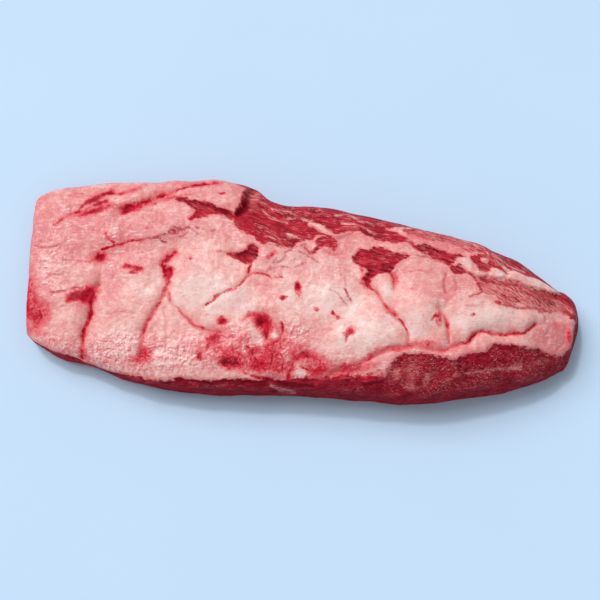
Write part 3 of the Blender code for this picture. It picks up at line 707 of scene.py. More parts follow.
skinDetail = dict(
    fatSwell=(11.0, 0.65),  # size and height of the fat's soft lumps
    fatGrain=(3.6, 0.3),
    cobbleLump=(5.2, 0.9),
    fibreRidge=(2.4, 0.42),
    creaseVaries=(0.75, 0.7, 13.0),  # share of a crease's depth, how much that changes, over what size
    facesUp=(0.15, 0.6),  # the normal's rise at the top of the sides and on the cap
    baseFade=(1, 8),  # heights between which the fine relief comes in
    wander=((15.0, 1.5), (5.0, 0.6)),  # size and reach of the two bends given to every outline and crease
    edgeRagged=(4.5, 1.3),  # how far the edge between fat and muscle frays
    stainBend=(8.0, 2.4),  # size and reach of the bend given to blood, cream and pale spots
    bloodGain=1.2,
    veinGain=1.6,
    # middle, swing, size, least and most of a share that changes from place to place
    haloShare=(0.36, 0.8, 18, 0.1, 0.7),
    seamShare=(0.88, 0.6, 19, 0.35, 1.08),
    strandShare=(0.7, 1.0, 9, 0.1, 1.0),
    haloReach=2.5,  # width of the halo beside a crease, in widths of the crease
    strandHalf=0.9,
    quietAreas=("capWindow", "smallWindow", "backWindow", "darkPatch", "bandTwo"),  # lean with few strands
    fibreDropRear=[
        (-280, 110), (-90, 18), (-60, 6), (-40, -3), (-20, -12), (0, -20), (50, -30), (100, -46),
        (150, -68), (200, -97), (270, -150),
    ],
    fibreRiseFront=0.18,
    fibreSqueeze=(8.0, 2.2),  # length over width of the strands, and the same in front of the point
    # painted shade: these spots, the deep creases and the strip under the cap's front edge are darkened in
    # colour
    shadeSpots=[
        (-71, -69, 4.2, 2.2, 0, 1.0), (-55, 33, 8, 3, 0, 0.4), (-54, 84, 4, 10, -12, 0.42),
        (-60, 76, 5, 4, 30, 0.38), (-169, 81, 5, 3, 22, 0.55), (-39, -32, 3.5, 3, -30, 0.45),
        (-78, 77, 14, 3, -20, 0.35), (95, -57, 4, 2.4, 0, 0.6), (249, -38, 3, 12, 15, 0.4),
        (150, -52, 2, 3, -40, 0.6),
    ],
    shadedCreases=("pointSeamDeep",),
    creaseShadeShare=0.45,
    edgeShadeShare=0.6,  # the shadow below the cap's front edge
)


def bend(points, size, reach, seed, layers=3):
    # a shift in the plan: reach times one layered noise for x and another for y
    return reach * np.stack([layeredNoise(points, size, seed + axis, layers) for axis in (0, 1)], axis=-1)


def varied(points, share, seed):
    # middle plus swing times a layered noise, kept between the least and the most
    middle, swing, size, least, most = share
    return np.clip(middle + swing * layeredNoise(points, size, seed), least, most)


def fibrePlaces(points, plan):
    # x squeezed along the fibres, y from the line they follow, and z, so that noise there runs in strands
    rear = softStep(plan[..., 1], -60, -20)
    drop = rear * smoothCurve(skinDetail["fibreDropRear"], plan[..., 0])
    drop += (1 - rear) * skinDetail["fibreRiseFront"] * plan[..., 0]
    plain, point = skinDetail["fibreSqueeze"]
    squeeze = np.where(rear > 0.5, plain, np.where(plan[..., 0] > 66, point, plain))
    return np.stack([points[..., 0] / squeeze, points[..., 1] - drop, points[..., 2]], axis=-1)


def fineRelief(points, fibres, muscle, cobble):
    # lumps and grain of the fat, cobbles and fibre ridges, each a noise times its own height, added up
    size, height = skinDetail["fatSwell"]
    fine = height * layeredNoise(points, size, 21) * (1 - 0.6 * muscle)
    size, height = skinDetail["fatGrain"]
    fine += height * layeredNoise(points, size, 31, 2) * (1 - muscle)
    size, height = skinDetail["cobbleLump"]
    fine += height * (lumpNoise(points, size, 41) - 0.5) * cobble
    size, height = skinDetail["fibreRidge"]
    return fine + height * layeredNoise(fibres, size, 51, 2) * muscle


def raisedSkin(points, plan, normal, facesUp, under, fine, shape):
    # points moved out by the rim's step, a slow unevenness and the fine relief, then up by the cap's relief
    z = points[..., 2]
    offBase = softStep(z, *skinDetail["baseFade"])
    rim = -shape["rimStep"] * softStep(under, -2, 3) * softStep(z, 4, 14) * (1 - facesUp)
    push = rim + shape["unevenHeight"] * softNoise(points / shape["unevenSize"], 7) * offBase
    share, swing, size = skinDetail["creaseVaries"]
    relief = capRelief(plan, share + swing * layeredNoise(points, size, 55, 2))
    skin = points + normal * (push + fine * offBase)[..., None]
    skin[..., 2] += relief * facesUp
    return skin


def seamBlood(points, plan, uneven):
    # the most that any crease gives: a bell across its uneven width and a fainter, wider halo round it
    seam = np.zeros(plan.shape[:-1])
    halo = varied(points, skinDetail["haloShare"], 95)
    for path, width, sink, stain in creases.values():
        away = pathDistance(plan, curveThrough(path), 7 * width) / (width * uneven)
        seam = np.maximum(seam, stain * np.maximum(bell(away), halo * bell(away / skinDetail["haloReach"])))
    return seam * varied(points, skinDetail["seamShare"], 61)


def veinTone(plan):
    # the most that any vein gives: a bell across it, stronger than 1 in the middle and cut off there
    vein = np.zeros(plan.shape[:-1])
    for path, half, strength in veinLines:
        away = pathDistance(plan, curveThrough(path), 5 * half) / half
        vein = np.maximum(vein, np.clip(skinDetail["veinGain"] * strength * bell(away), 0, 1))
    return vein


def recessShadeTone(plan, ahead):
    # painted shade: the most of the shade spots, a narrow bell along the shaded creases, and a painted shadow
    # below the cap's front edge
    deep = toneField(plan, skinDetail["shadeSpots"])
    for name in skinDetail["shadedCreases"]:
        path, width = creases[name][:2]
        away = pathDistance(plan, curveThrough(path), 4 * width) / (0.6 * width)
        deep = np.maximum(deep, skinDetail["creaseShadeShare"] * bell(away))
    along = softStep(plan[..., 0], -150, -120) * (1 - softStep(plan[..., 0], *capForm["pointStart"]))
    return np.maximum(deep, skinDetail["edgeShadeShare"] * bell((ahead - 1.2) / 1.6) * along)


def strandTone(points, plan, uneven):
    # the most that any long strand gives: a bell across its uneven width, fainter here and there
    strand = np.zeros(plan.shape[:-1])
    for path in paleStrands:
        away = pathDistance(plan, curveThrough(path), 5) / (skinDetail["strandHalf"] * uneven)
        strand = np.maximum(strand, bell(away))
    return strand * varied(points, skinDetail["strandShare"], 97)


def marblingTone(plan, ahead, facesUp):
    # a little everywhere, more in front of the point, most on the rear lean outside the quiet areas
    point = softStep(ahead, 0, 4) * softStep(plan[..., 0], 66, 90)
    rearLean = softStep(plan[..., 1], 0, 30) * facesUp
    for name in skinDetail["quietAreas"]:
        rearLean *= 1 - 0.6 * softStep(depthInside(plan, muscleAreas[name][0]), -1, 1)
    return np.clip(0.55 * rearLean + 0.3 * point + 0.22, 0, 1)


def beefTones(points, plan, facesUp, depth, cobble):
    # what the finish reads at each point, every value from 0 to 1
    ahead = frontDepth(plan)
    uneven = 0.85 + 0.6 * layeredNoise(points, 15, 91) + 0.6 * layeredNoise(points, 6, 93)
    uneven = np.clip(uneven, 0.35, 1.7)
    stained = plan + bend(points, *skinDetail["stainBend"], 81)
    blood = np.clip(skinDetail["bloodGain"] * toneField(stained, capTones["blood"]), 0, 1)
    blood *= 1 - toneField(stained, capTones["clean"])
    return dict(
        muscle=np.clip(0.5 + depth / 12, 0, 1),
        blood=blood * facesUp,
        seam=np.clip(seamBlood(points, plan, uneven), 0, 1) * facesUp,
        vein=veinTone(plan) * facesUp,
        # painted shade in pits, hollows and deep creases
        deep=np.clip(recessShadeTone(plan, ahead), 0, 1) * softStep(facesUp, 0, 0.3),
        cream=toneField(stained, capTones["cream"]) * facesUp,
        cobble=cobble,
        pale=toneField(stained, capTones["pale"]) * facesUp,
        rosy=toneField(plan, capTones["rosy"]),
        veil=toneField(plan, capTones["veil"]) * facesUp,
        bluish=toneField(plan, capTones["bluish"]) * facesUp,
        dusky=toneField(plan, capTones["dusky"]) * facesUp,
        marbling=marblingTone(plan, ahead, facesUp),
        strand=strandTone(points, plan, uneven) * softStep(points[..., 2], 12, 20),
        steep=1 - facesUp,
        front=softStep(ahead, -1, 3),
    )


def skinAndTones(shape):
    # the finished points and the fibres' places, both in millimetres, and the finish's values at each point
    points = loftedPoints(shape)
    normal = outward(points)
    facesUp = softStep(normal[..., 2], *skinDetail["facesUp"])
    plan = points[..., :2].copy()
    for k, (size, reach) in enumerate(skinDetail["wander"]):
        plan += bend(points, size, reach, 71 + 9 * k, 2)
    thick = sectionSizes(np.clip(points[..., 0], -shape["halfLength"], shape["halfLength"]), shape)[2]
    size, ragged = skinDetail["edgeRagged"]
    depth = muscleDepth(plan, points[..., 2], thick, shape) + ragged * layeredNoise(points, size, 11)
    muscle = softStep(depth, -1.2, 1.2)
    cobble = toneField(plan, capTones["cobble"]) * facesUp * (1 - muscle)
    fibres = fibrePlaces(points, plan)
    under = thick - sideCap(plan, shape) - points[..., 2]
    fine = fineRelief(points, fibres, muscle, cobble)
    skin = raisedSkin(points, plan, normal, facesUp, under, fine, shape)
    return skin, fibres, beefTones(points, plan, facesUp, depth, cobble)


def intoBox(points, box):
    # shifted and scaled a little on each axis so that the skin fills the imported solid's box exactly
    low, high = points.min(axis=(0, 1)), points.max(axis=(0, 1))
    boxLow, boxHigh = np.array(box[0]), np.array(box[1])
    return boxLow + (points - low) * (boxHigh - boxLow) / (high - low)


def skinFaces(stations, around):
    # corners of the four-sided faces between rings and of a fan over each end, and how many each face has
    i, j = np.meshgrid(np.arange(stations - 1), np.arange(around), indexing="ij")
    k = (j + 1) % around
    quads = np.stack([i * around + j, i * around + k, (i + 1) * around + k, (i + 1) * around + j], axis=-1)
    ring = np.arange(around)
    turned = (ring + 1) % around
    last = (stations - 1) * around
    fanFirst = np.stack([np.full(around, last + around), turned, ring], axis=-1)
    fanLast = np.stack([np.full(around, last + around + 1), last + ring, last + turned], axis=-1)
    corners = np.concatenate([quads.reshape(-1), fanFirst.reshape(-1), fanLast.reshape(-1)])
    return corners, np.concatenate([np.full(quads.size // 4, 4), np.full(2 * around, 3)])


def bakeMap(stations, around):
    # the station one way across the map and the place round the ring the other, with a row for each fan
    i, j = np.meshgrid(np.arange(stations - 1), np.arange(around), indexing="ij")
    ring = np.arange(around)
    rows = stations + 1
    gridU = np.stack([i, i, i + 1, i + 1], axis=-1) + 1
    gridV = np.stack([j, j + 1, j + 1, j], axis=-1)
    firstU = np.stack([np.zeros(around), np.ones(around), np.ones(around)], axis=-1)
    firstV = np.stack([ring + 0.5, ring + 1, ring], axis=-1)
    lastU = np.stack([np.full(around, rows), np.full(around, rows - 1), np.full(around, rows - 1)], axis=-1)
    lastV = np.stack([ring + 0.5, ring, ring + 1], axis=-1)
    u = np.concatenate([gridU.ravel(), firstU.ravel(), lastU.ravel()]) / rows
    v = np.concatenate([gridV.ravel(), firstV.ravel(), lastV.ravel()]) / around
    return np.stack([u, v], axis=-1).ravel()


def closedSkin(name, points):
    # one smooth closed mesh over the rings, with a grid map for baking
    stations, around = points.shape[:2]
    corners, sizes = skinFaces(stations, around)
    ends = np.array([points[0].mean(axis=0), points[-1].mean(axis=0)])
    mesh = bpy.data.meshes.new(name)
    mesh.vertices.add(stations * around + len(ends))
    mesh.vertices.foreach_set("co", np.concatenate([points.reshape(-1, 3), ends]).ravel())
    mesh.loops.add(len(corners))
    mesh.loops.foreach_set("vertex_index", corners.astype(np.int32))
    mesh.polygons.add(len(sizes))
    mesh.polygons.foreach_set("loop_start", np.concatenate([[0], np.cumsum(sizes)[:-1]]).astype(np.int32))
    mesh.polygons.foreach_set("loop_total", sizes.astype(np.int32))
    mesh.update(calc_edges=True)
    mesh.validate()
    mesh.polygons.foreach_set("use_smooth", np.ones(len(sizes), bool))
    mesh.uv_layers.new(name="OFBake").data.foreach_set("uv", bakeMap(stations, around))
    piece = bpy.data.objects.new(name, mesh)
    bpy.context.scene.collection.objects.link(piece)
    return piece


def addTone(mesh, name, values):
    # one number or one vector for each point, the two end points taking their ring's mean
    vector = values.ndim == 3
    ends = np.array([values[0].mean(axis=0), values[-1].mean(axis=0)])
    flat = values.reshape(-1, 3) if vector else values.reshape(-1)
    layer = mesh.attributes.new(name, "FLOAT_VECTOR" if vector else "FLOAT", "POINT")
    layer.data.foreach_set("vector" if vector else "value", np.concatenate([flat, ends]).ravel())


# ---- the finish

rawBeef = dict(
    # colours are linear
    fatRed=(0.715, 0.20, 0.21),
    fatPink=(0.765, 0.295, 0.29),
    fatSalmon=(0.825, 0.415, 0.38),
    fatCream=(0.865, 0.605, 0.57),
    fatDusky=(0.66, 0.31, 0.30),
    fatWhite=(0.94, 0.81, 0.78),
    netting=(0.26, 0.025, 0.055),
    vein=(0.42, 0.02, 0.045),
    stain=(0.71, 0.13, 0.15),
    bloodLight=(0.60, 0.022, 0.05),
    bloodDark=(0.36, 0.003, 0.017),
    muscleDark=(0.21, 0.002, 0.012),
    muscle=(0.45, 0.008, 0.029),
    muscleLight=(0.58, 0.035, 0.055),
    strand=(0.76, 0.25, 0.25),
    strandBright=(0.86, 0.42, 0.40),
    veil=(0.72, 0.205, 0.20),
    # painted shade: the near-black laid in pits and recesses
    pit=(0.055, 0.001, 0.004),
    # swirls: size in millimetres, detail, roughness and warp of a noise, and the two values it is 0 and 1 at
    swirls=dict(
        broad=(26, 3, 0.5, 0, 0.3, 0.7),
        middle=(8, 4, 0.6, 0.4, 0.32, 0.68),
        fine=(2.7, 4, 0.7, 0.4, 0.32, 0.68),
        grain=(1.5, 2, 0.6, 0, 0.35, 0.65),
        patchy=(17, 3, 0.55, 0, 0.42, 0.60),
        patches=(13, 3, 0.55, 0, 0.46, 0.60),
        specks=(2.2, 2, 0.6, 0, 0.61, 0.66),
        washes=(6, 4, 0.62, 1.2, 0.34, 0.66),
        redder=(12, 4, 0.55, 0, 0.38, 0.60),
        strandPatch=(14, 3, 0.55, 0, 0.38, 0.54),
        # painted highlight: small glint flecks on the lean
        flecks=(2.0, 2, 0.6, 0, 0.63, 0.70),
        wet=(5, 3, 0.55, 0, 0.40, 0.62),
    ),
    # winding lines: the same for the noise, then how far from its middle a line starts and is full
    threads=dict(
        thread=(11, 5, 0.62, 0.8, 0.022, 0.006),
        lace=(7, 3, 0.62, 1.4, 0.032, 0.008),
        thinLace=(6.5, 3, 0.6, 1.6, 0.018, 0.007),
    ),
    # the wisps are partly painted glints, and the ripples carry painted highlight and shade
    wispStretch=(0.3, 1, 1),  # wisps and ripples of the fat run along x
    creamStart=(0.7, -0.04),  # how cream the fat is: times the cream spots, plus
    creamShares=dict(blood=-0.35, rosy=-0.45, broad=0.34, middle=0.24, steep=-0.5),
    creamSteps=dict(fatPink=(-0.15, 0.2), fatSalmon=(0.1, 0.5), fatCream=(0.4, 0.95)),
    fatRoughness=0.40,
    muscleRoughness=0.34,
    sideRoughness=0.45,  # how much rougher the sides are
    wetness=0.2,  # how much smoother the wet patches are
    specular=0.03,
    coatRoughness=0.22,
    scatter=0.12,
    scatterColours=(1.0, 0.32, 0.22),
    softness=0.0009,  # how far light spreads under the fat, in metres
    bumpStrength=0.7,
    bumpDepth=0.8 * mm,
)


class Nodes:
    # short ways to add and join shader nodes in one material
    def __init__(self, material):
        material.use_nodes = True
        self.tree = material.node_tree
        self.shader = self.tree.nodes["Principled BSDF"]

    def add(self, kind, inputs=(), **settings):
        # a node with its settings; inputs go by the socket's name or number
        node = self.tree.nodes.new(kind)
        for key, value in settings.items():
            setattr(node, key, value)
        self.feed(node, inputs)
        return node

    def feed(self, node, inputs):
        # each input from another node's output, or as a plain number, vector or colour
        for key, value in dict(inputs).items():
            socket = node.inputs[key]
            if isinstance(value, bpy.types.NodeSocket):
                self.tree.links.new(value, socket)
            elif socket.type == "RGBA":
                socket.default_value = (*value, 1)
            else:
                socket.default_value = value

    def tone(self, name, output="Fac"):
        # a value kept at each point of the skin
        return self.add("ShaderNodeAttribute", attribute_name=name).outputs[output]

    def maths(self, operation, *values):
        # one step of arithmetic on numbers or other nodes' outputs
        return self.add("ShaderNodeMath", enumerate(values), operation=operation).outputs[0]

    def times(self, first, *others):
        # the product of them all
        for other in others:
            first = self.maths("MULTIPLY", first, other)
        return first

    def scaled(self, value, factor, plus):
        # value times factor, and plus added
        return self.maths("MULTIPLY_ADD", value, factor, plus)

    def step(self, value, low, high, to=1.0, start=0.0):
        # start at low, to at high and a smooth S between
        ends = {"Value": value, "From Min": low, "From Max": high, "To Min": start, "To Max": to}
        return self.add("ShaderNodeMapRange", ends, interpolation_type="SMOOTHSTEP").outputs["Result"]

    def noise(self, place, size, detail=4.0, rough=0.55, warp=0.0):
        # size in millimetres
        kind = {"Vector": place, "Scale": 1 / (size * mm), "Detail": detail, "Roughness": rough}
        return self.add("ShaderNodeTexNoise", {**kind, "Distortion": warp}).outputs["Fac"]

    def line(self, noise, wide, narrow, middle=0.5):
        # the winding line where a noise passes its middle: 0 at wide from it, 1 at narrow
        return self.step(self.maths("ABSOLUTE", self.maths("SUBTRACT", noise, middle)), wide, narrow)

    def flank(self, place, size, reach, warp):
        # a noise less itself reach millimetres away: high on one side of each bump and low on the other
        shift = tuple(part * mm for part in reach)
        beside = self.add("ShaderNodeVectorMath", {0: place, 1: shift}, operation="ADD").outputs[0]
        return self.maths("SUBTRACT", *(self.noise(at, size, 1.5, 0.5, warp) for at in (place, beside)))

    def mix(self, share, a, b):
        # a at 0, b at 1 and their blend between
        colours = {0: share, 6: a, 7: b}
        return self.add("ShaderNodeMix", colours, data_type="RGBA", clamp_factor=True).outputs[2]


class BeefNodes(Nodes):
    # the skin's tones and the noises that several parts of the finish share, each under its own name
    def __init__(self, material, look, tones):
        super().__init__(material)
        self.look = look
        self.place = self.add("ShaderNodeTexCoord").outputs["Object"]
        self.fibre = self.tone("fibre", "Vector")
        wisps = self.add("ShaderNodeMapping", {"Vector": self.place, "Scale": look["wispStretch"]})
        self.wispPlace = wisps.outputs[0]
        for name in tones:
            setattr(self, name, self.tone(name))
        for name, (size, detail, rough, warp, low, high) in look["swirls"].items():
            setattr(self, name, self.step(self.noise(self.place, size, detail, rough, warp), low, high))
        for name, (size, detail, rough, warp, wide, narrow) in look["threads"].items():
            setattr(self, name, self.line(self.noise(self.place, size, detail, rough, warp), wide, narrow))
        self.fibres = self.step(self.noise(self.fibre, 3.0, 4, 0.65, 0.2), 0.32, 0.68)
        self.strands = self.noise(self.fibre, 1.1, 3, 0.66, 0.6)

    def lay(self, under, colour, *shares):
        # a colour of the look, or another one, over what is under it by the product of the shares
        over = self.look[colour] if isinstance(colour, str) else colour
        return self.mix(self.times(*shares), under, over)


def leanEdge(n):
    # from fat to lean, frayed by a noise along the fibres, by one in place and, under veils, by the swirls
    fray = n.scaled(n.noise(n.fibre, 2.6, 3, 0.6), 0.5, n.times(n.noise(n.place, 4, 3), 0.5))
    edge = n.scaled(n.maths("SUBTRACT", fray, 0.5), 0.85, n.muscle)
    return n.scaled(n.maths("SUBTRACT", n.middle, 0.5), n.times(n.veil, 0.9), edge)


def plainFat(n):
    # red-pink to cream with broad and fine mottling, less cream beside blood; white wisps that are partly
    # painted glints, and pale spots
    share = n.scaled(n.cream, *n.look["creamStart"])
    for name, weight in n.look["creamShares"].items():
        share = n.scaled(getattr(n, name), weight, share)
    mottle = n.scaled(n.cobble, 0.3, n.scaled(n.cream, -0.17, 0.26))
    share = n.scaled(n.maths("SUBTRACT", n.fine, 0.5), mottle, share)
    share = n.scaled(n.maths("SUBTRACT", n.grain, 0.5), n.times(mottle, 0.6), share)
    fat = n.look["fatRed"]
    for colour, (low, high) in n.look["creamSteps"].items():
        fat = n.lay(fat, colour, n.step(share, low, high))
    fat = n.lay(fat, "fatDusky", n.dusky, n.scaled(n.broad, 0.3, 0.3))
    wispAndGlint = n.step(n.noise(n.wispPlace, 1.8, 3, 0.65, 0.8), 0.55, 0.66)
    fat = n.lay(fat, "fatWhite", wispAndGlint, n.scaled(n.cobble, 0.1, n.scaled(n.pale, 0.7, 0.1)))
    return n.lay(fat, "fatWhite", n.pale, n.step(n.fine, 0.25, 0.8), 0.85)


def streakedFat(n, fat):
    # thin red streaks, and ripples with painted shade in red on one side and painted highlight, white glints,
    # on the other side toward the lights
    streak = n.line(n.noise(n.wispPlace, 3.2, 3, 0.6, 0.5), 0.014, 0.004, 0.47)
    fat = n.lay(fat, "fatRed", streak, n.patchy, 0.6)
    rippleShading = n.flank(n.wispPlace, 2.4, (0, 0.6, 0), 1.0)
    fat = n.lay(fat, "fatRed", n.step(rippleShading, -0.06, -0.10), n.step(n.middle, 0.7, 0.3), 0.3)
    glint = n.times(n.step(rippleShading, 0.07, 0.105), n.step(n.middle, 0.5, 0.85))
    return n.lay(fat, "fatWhite", glint, n.scaled(n.cream, -0.3, 0.5))


def stainedFat(n, fat, wash):
    # red threads and specks and a bluish net, then washes that thin out round solid blood
    fat = n.lay(fat, "stain", n.thread, n.patches, n.scaled(n.cobble, 0.4, 0.22))
    fat = n.lay(fat, "bloodLight", n.specks, n.step(n.middle, 0.75, 0.35), n.scaled(n.cobble, 0.4, 0.3))
    fat = n.lay(fat, "netting", n.lace, n.step(n.fine, 0.4, 0.8), n.step(n.middle, 0.3, 0.8), n.bluish, 0.9)
    fat = n.lay(fat, "stain", n.step(wash, 0.16, 0.45, 0.92))
    blood = n.lay(n.look["bloodLight"], "bloodDark", n.step(wash, 0.95, 1.4))
    return n.lay(fat, blood, n.step(wash, 0.45, 0.72))


def cobbledFat(n, fat):
    # white crumbs of fat with a painted highlight on the side of each cobble toward the lights, and stain and
    # blood red as painted shade in the gap on the other side
    # the flank is shifted toward the lights, so its high side is the lit one
    side = n.flank(n.place, 4.6, (-0.7, 0.9, 0), 0.6)
    fat = n.lay(fat, "stain", n.step(side, -0.035, -0.08), n.cobble, n.scaled(n.middle, 0.5, 0.3))
    fat = n.lay(fat, "bloodLight", n.step(side, -0.08, -0.12), n.cobble, 0.55)
    crumbHighlight = n.times(n.step(side, 0.06, 0.09), n.scaled(n.cobble, 0.7, 0.1))
    return n.lay(fat, "fatWhite", crumbHighlight, n.scaled(n.blood, -0.7, n.scaled(n.fine, 0.6, 0.4)))


def creasedFat(n, fat, wash, edge):
    # a blush where the fat thins at its edge; in creases a pink halo, then blood, darkest at the bottom
    fat = n.lay(fat, "stain", n.step(edge, 0.30, 0.46), n.scaled(n.middle, 0.4, 0.3))
    sunk = n.times(n.seam, n.scaled(n.middle, 0.5, n.scaled(n.fine, 0.4, 0.42)))
    fat = n.lay(fat, "stain", n.step(sunk, 0.10, 0.40, 0.9), n.step(wash, 0.72, 0.45))
    blood = n.lay(n.look["bloodLight"], "bloodDark", n.step(sunk, 0.45, 0.85))
    return n.lay(fat, blood, n.step(sunk, 0.36, 0.62))


def plainLean(n):
    # two reds in patches, darker in front, with lighter and darker fibres
    lean = n.lay(n.look["muscleDark"], "muscle", n.redder)
    lean = n.lay(lean, "muscleDark", n.front, 0.5)
    lean = n.lay(lean, "muscleLight", n.step(n.fibres, 0.3, 1.0, n.scaled(n.front, -0.4, 0.75)))
    lean = n.lay(lean, "muscleLight", n.step(n.marbling, 0.66, 0.9, 0.3))
    return n.lay(lean, "muscleDark", n.step(n.strands, 0.46, 0.38, 0.6))


def marbledLean(n, lean):
    # short and long pale strands along the fibres, thin lace over the front, and flecks of painted highlight
    short = n.times(n.step(n.strands, 0.56, 0.60), n.strandPatch, n.scaled(n.steep, -0.6, 1.0))
    lean = n.lay(lean, "strand", short, n.marbling)
    long = n.times(n.strand, n.step(n.strands, 0.38, 0.56))
    lean = n.lay(lean, "strandBright", long, n.scaled(n.front, -0.35, 0.95))
    offSides = n.scaled(n.steep, -0.75, 1.0)
    lace = n.times(n.thinLace, n.step(n.broad, 0.35, 0.75), n.front, n.step(n.fine, 0.4, 0.65))
    lean = n.lay(lean, "strand", lace, offSides, 0.7)
    return n.lay(lean, "strand", n.flecks, n.step(n.broad, 0.55, 0.9), offSides, 0.35)


def veiledLean(n, lean):
    # pink veils of membrane with red and pale strands through them, and painted shade that darkens the lean in
    # recesses
    lean = n.lay(lean, "veil", n.veil, n.step(n.maths("ADD", n.fibres, n.middle), 0.45, 1.15), 0.92)
    lean = n.lay(lean, "muscleLight", n.veil, n.step(n.strands, 0.47, 0.40, 0.8))
    lean = n.lay(lean, "fatSalmon", n.veil, n.step(n.strands, 0.50, 0.60, 0.85))
    return n.lay(lean, "muscleDark", n.step(n.deep, 0.08, 0.4, 0.85))


def beefColour(n, edge, muscleMask):
    # fat and lean joined by the mask, with veins over both and a near-black painted shade in pits and recesses
    wash = n.scaled(n.washes, 0.75, n.scaled(n.fine, 0.45, 0.38))
    wash = n.scaled(n.blood, wash, n.step(n.blood, 0.7, 1.0, 0.5))
    fat = cobbledFat(n, stainedFat(n, streakedFat(n, plainFat(n)), wash))
    colour = n.mix(muscleMask, creasedFat(n, fat, wash, edge), veiledLean(n, marbledLean(n, plainLean(n))))
    colour = n.lay(colour, "vein", n.vein, n.step(n.fine, 0.0, 0.45))
    return n.lay(colour, "pit", n.step(n.scaled(n.washes, 0.4, n.deep), 0.5, 1.15), 0.92)


def beefRoughness(n, muscleMask):
    # fat and lean each their own, smoother in wet patches and rougher down the sides
    rough = n.mix(muscleMask, (n.look["fatRoughness"],) * 3, (n.look["muscleRoughness"],) * 3)
    return n.scaled(n.steep, n.look["sideRoughness"], n.scaled(n.wet, -n.look["wetness"], rough))


def moistCoat(n, muscleMask):
    # most on cobbles, little on lean, none on the sides, and less where blood would mirror the lights
    dry = n.step(n.maths("MAXIMUM", n.blood, n.seam), 0.25, 0.75, 0.2, 1.0)
    onTop = n.maths("SUBTRACT", 1, n.steep)
    return n.times(n.scaled(n.cobble, 0.55, 0.2), n.scaled(muscleMask, -0.8, 1), onTop, dry)


def beefBump(n, muscleMask):
    # beads and swirls in the fat, strands in the lean
    bead = n.times(n.noise(n.place, 4.6, 1.5, 0.5, 0.6), n.scaled(n.cobble, 1.6, 0.4))
    swirl = n.noise(n.wispPlace, 2.4, 1.5, 0.5, 0.4)
    fatHeight = n.scaled(swirl, n.scaled(n.cream, -0.15, 0.25), bead)
    leanHeight = n.scaled(n.fibres, 0.6, n.noise(n.fibre, 1.2, 2, 0.6))
    height = n.mix(muscleMask, fatHeight, leanHeight)
    depths = {"Height": height, "Strength": n.look["bumpStrength"], "Distance": n.look["bumpDepth"]}
    return n.add("ShaderNodeBump", depths).outputs["Normal"]


def rawBeefMaterial(look, tones):
    # one moist finish over fat and lean
    material = bpy.data.materials.new("rawBeef")
    n = BeefNodes(material, look, tones)
    edge = leanEdge(n)
    muscleMask = n.step(edge, 0.44, 0.56)
    bump = beefBump(n, muscleMask)
    n.feed(n.shader, {
        "Base Color": beefColour(n, edge, muscleMask),
        "Roughness": beefRoughness(n, muscleMask),
        "Specular IOR Level": look["specular"],
        "Coat Weight": moistCoat(n, muscleMask),
        "Coat Roughness": look["coatRoughness"],
        "Subsurface Weight": look["scatter"],
        "Subsurface Radius": look["scatterColours"],
        "Subsurface Scale": look["softness"],
        "Normal": bump,
        "Coat Normal": bump,
    })
    return material


skin, fibres, tones = skinAndTones(bodyShape)
print("skin worked out", skin.shape)
brisket = closedSkin("brisketSkin", intoBox(skin * mm, cadBox))
for name, values in tones.items():
    addTone(brisket.data, name, values)
addTone(brisket.data, "fibre", fibres * mm)
brisket.data.materials.append(rawBeefMaterial(rawBeef, tones))
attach(brisket, "root")
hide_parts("brisket")
print("brisket made", len(brisket.data.polygons), "faces")


# ---- floor, light and camera

studio = dict(
    floorSize=6.0,  # in metres, and so is the aim
    floorColour=(0.535, 0.715, 0.92),
    floorMottle=(260, 0.03),  # size in millimetres, and how much darker and lighter
    floorRoughness=0.65,
    skyColour=(1.0, 1.0, 1.0),
    skyStrength=0.42,
    # direction it shines from, width in degrees, strength, colour
    lights=dict(
        panel=((-0.75, 0.65, 1.25), 42, 1.85, (1.0, 1.0, 1.0)),
        sparkle=((-0.35, 0.5, 1.0), 6, 0.6, (1.0, 1.0, 1.0)),
    ),
    lens=70.0,
    sensor=36.0,
    aim=(-0.002, -0.0102, 0.025),
    elevation=76.0,
    pixels=600,  # across the square frame
    perPixel=0.94 * mm,  # metres across one of them at the aim
)


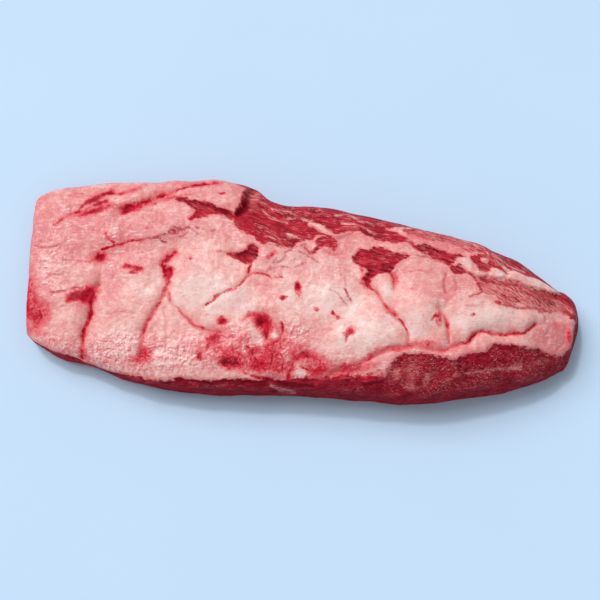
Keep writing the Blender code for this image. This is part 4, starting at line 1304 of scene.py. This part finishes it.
def softFloor(look):
    # a wide flat square, pale with a faint slow mottle
    half = look["floorSize"] / 2
    mesh = bpy.data.meshes.new("floor")
    corners = [(-half, -half, 0), (half, -half, 0), (half, half, 0), (-half, half, 0)]
    mesh.from_pydata(corners, [], [(0, 1, 2, 3)])
    floor = bpy.data.objects.new("floor", mesh)
    bpy.context.scene.collection.objects.link(floor)
    material = bpy.data.materials.new("paleFloor")
    n = Nodes(material)
    size, swing = look["floorMottle"]
    dark, light = (tuple(share * part for part in look["floorColour"]) for share in (1 - swing, 1 + swing))
    mottle = n.noise(n.add("ShaderNodeTexCoord").outputs["Object"], size, 3)
    n.feed(n.shader, {"Base Color": n.mix(mottle, dark, light), "Roughness": look["floorRoughness"]})
    mesh.materials.append(material)


def softLight(name, source, width, strength, colour):
    # an even light from one side of the sky, as wide as a big diffusing panel
    light = bpy.data.lights.new(name, "SUN")
    light.angle, light.energy, light.color = np.radians(width), strength, colour
    lamp = bpy.data.objects.new(name, light)
    bpy.context.scene.collection.objects.link(lamp)
    lamp.rotation_euler = Vector(source).to_track_quat("Z", "Y").to_euler()


def plainSky(look):
    # the same light from all round
    world = bpy.data.worlds.new("studio")
    bpy.context.scene.world = world
    world.use_nodes = True
    background = world.node_tree.nodes["Background"]
    background.inputs["Color"].default_value = (*look["skyColour"], 1)
    background.inputs["Strength"].default_value = look["skyStrength"]


def frontCamera(look):
    # above the front edge, back by the pixels times the size of one times the lens over the sensor
    camera = bpy.data.cameras.new("camera")
    camera.lens, camera.sensor_width = look["lens"], look["sensor"]
    camera.clip_start, camera.clip_end = 0.05, 20
    eye = bpy.data.objects.new("camera", camera)
    bpy.context.scene.collection.objects.link(eye)
    away = look["pixels"] * look["perPixel"] * look["lens"] / look["sensor"]
    rise = np.radians(look["elevation"])
    x, y, z = look["aim"]
    eye.location = (x, y - away * np.cos(rise), z + away * np.sin(rise))
    eye.rotation_euler = (np.pi / 2 - rise, 0, 0)
    bpy.context.scene.camera = eye


softFloor(studio)
for name, light in studio["lights"].items():
    softLight(name, *light)
plainSky(studio)
bpy.context.scene.view_settings.view_transform = "Standard"
frontCamera(studio)
print("studio set")
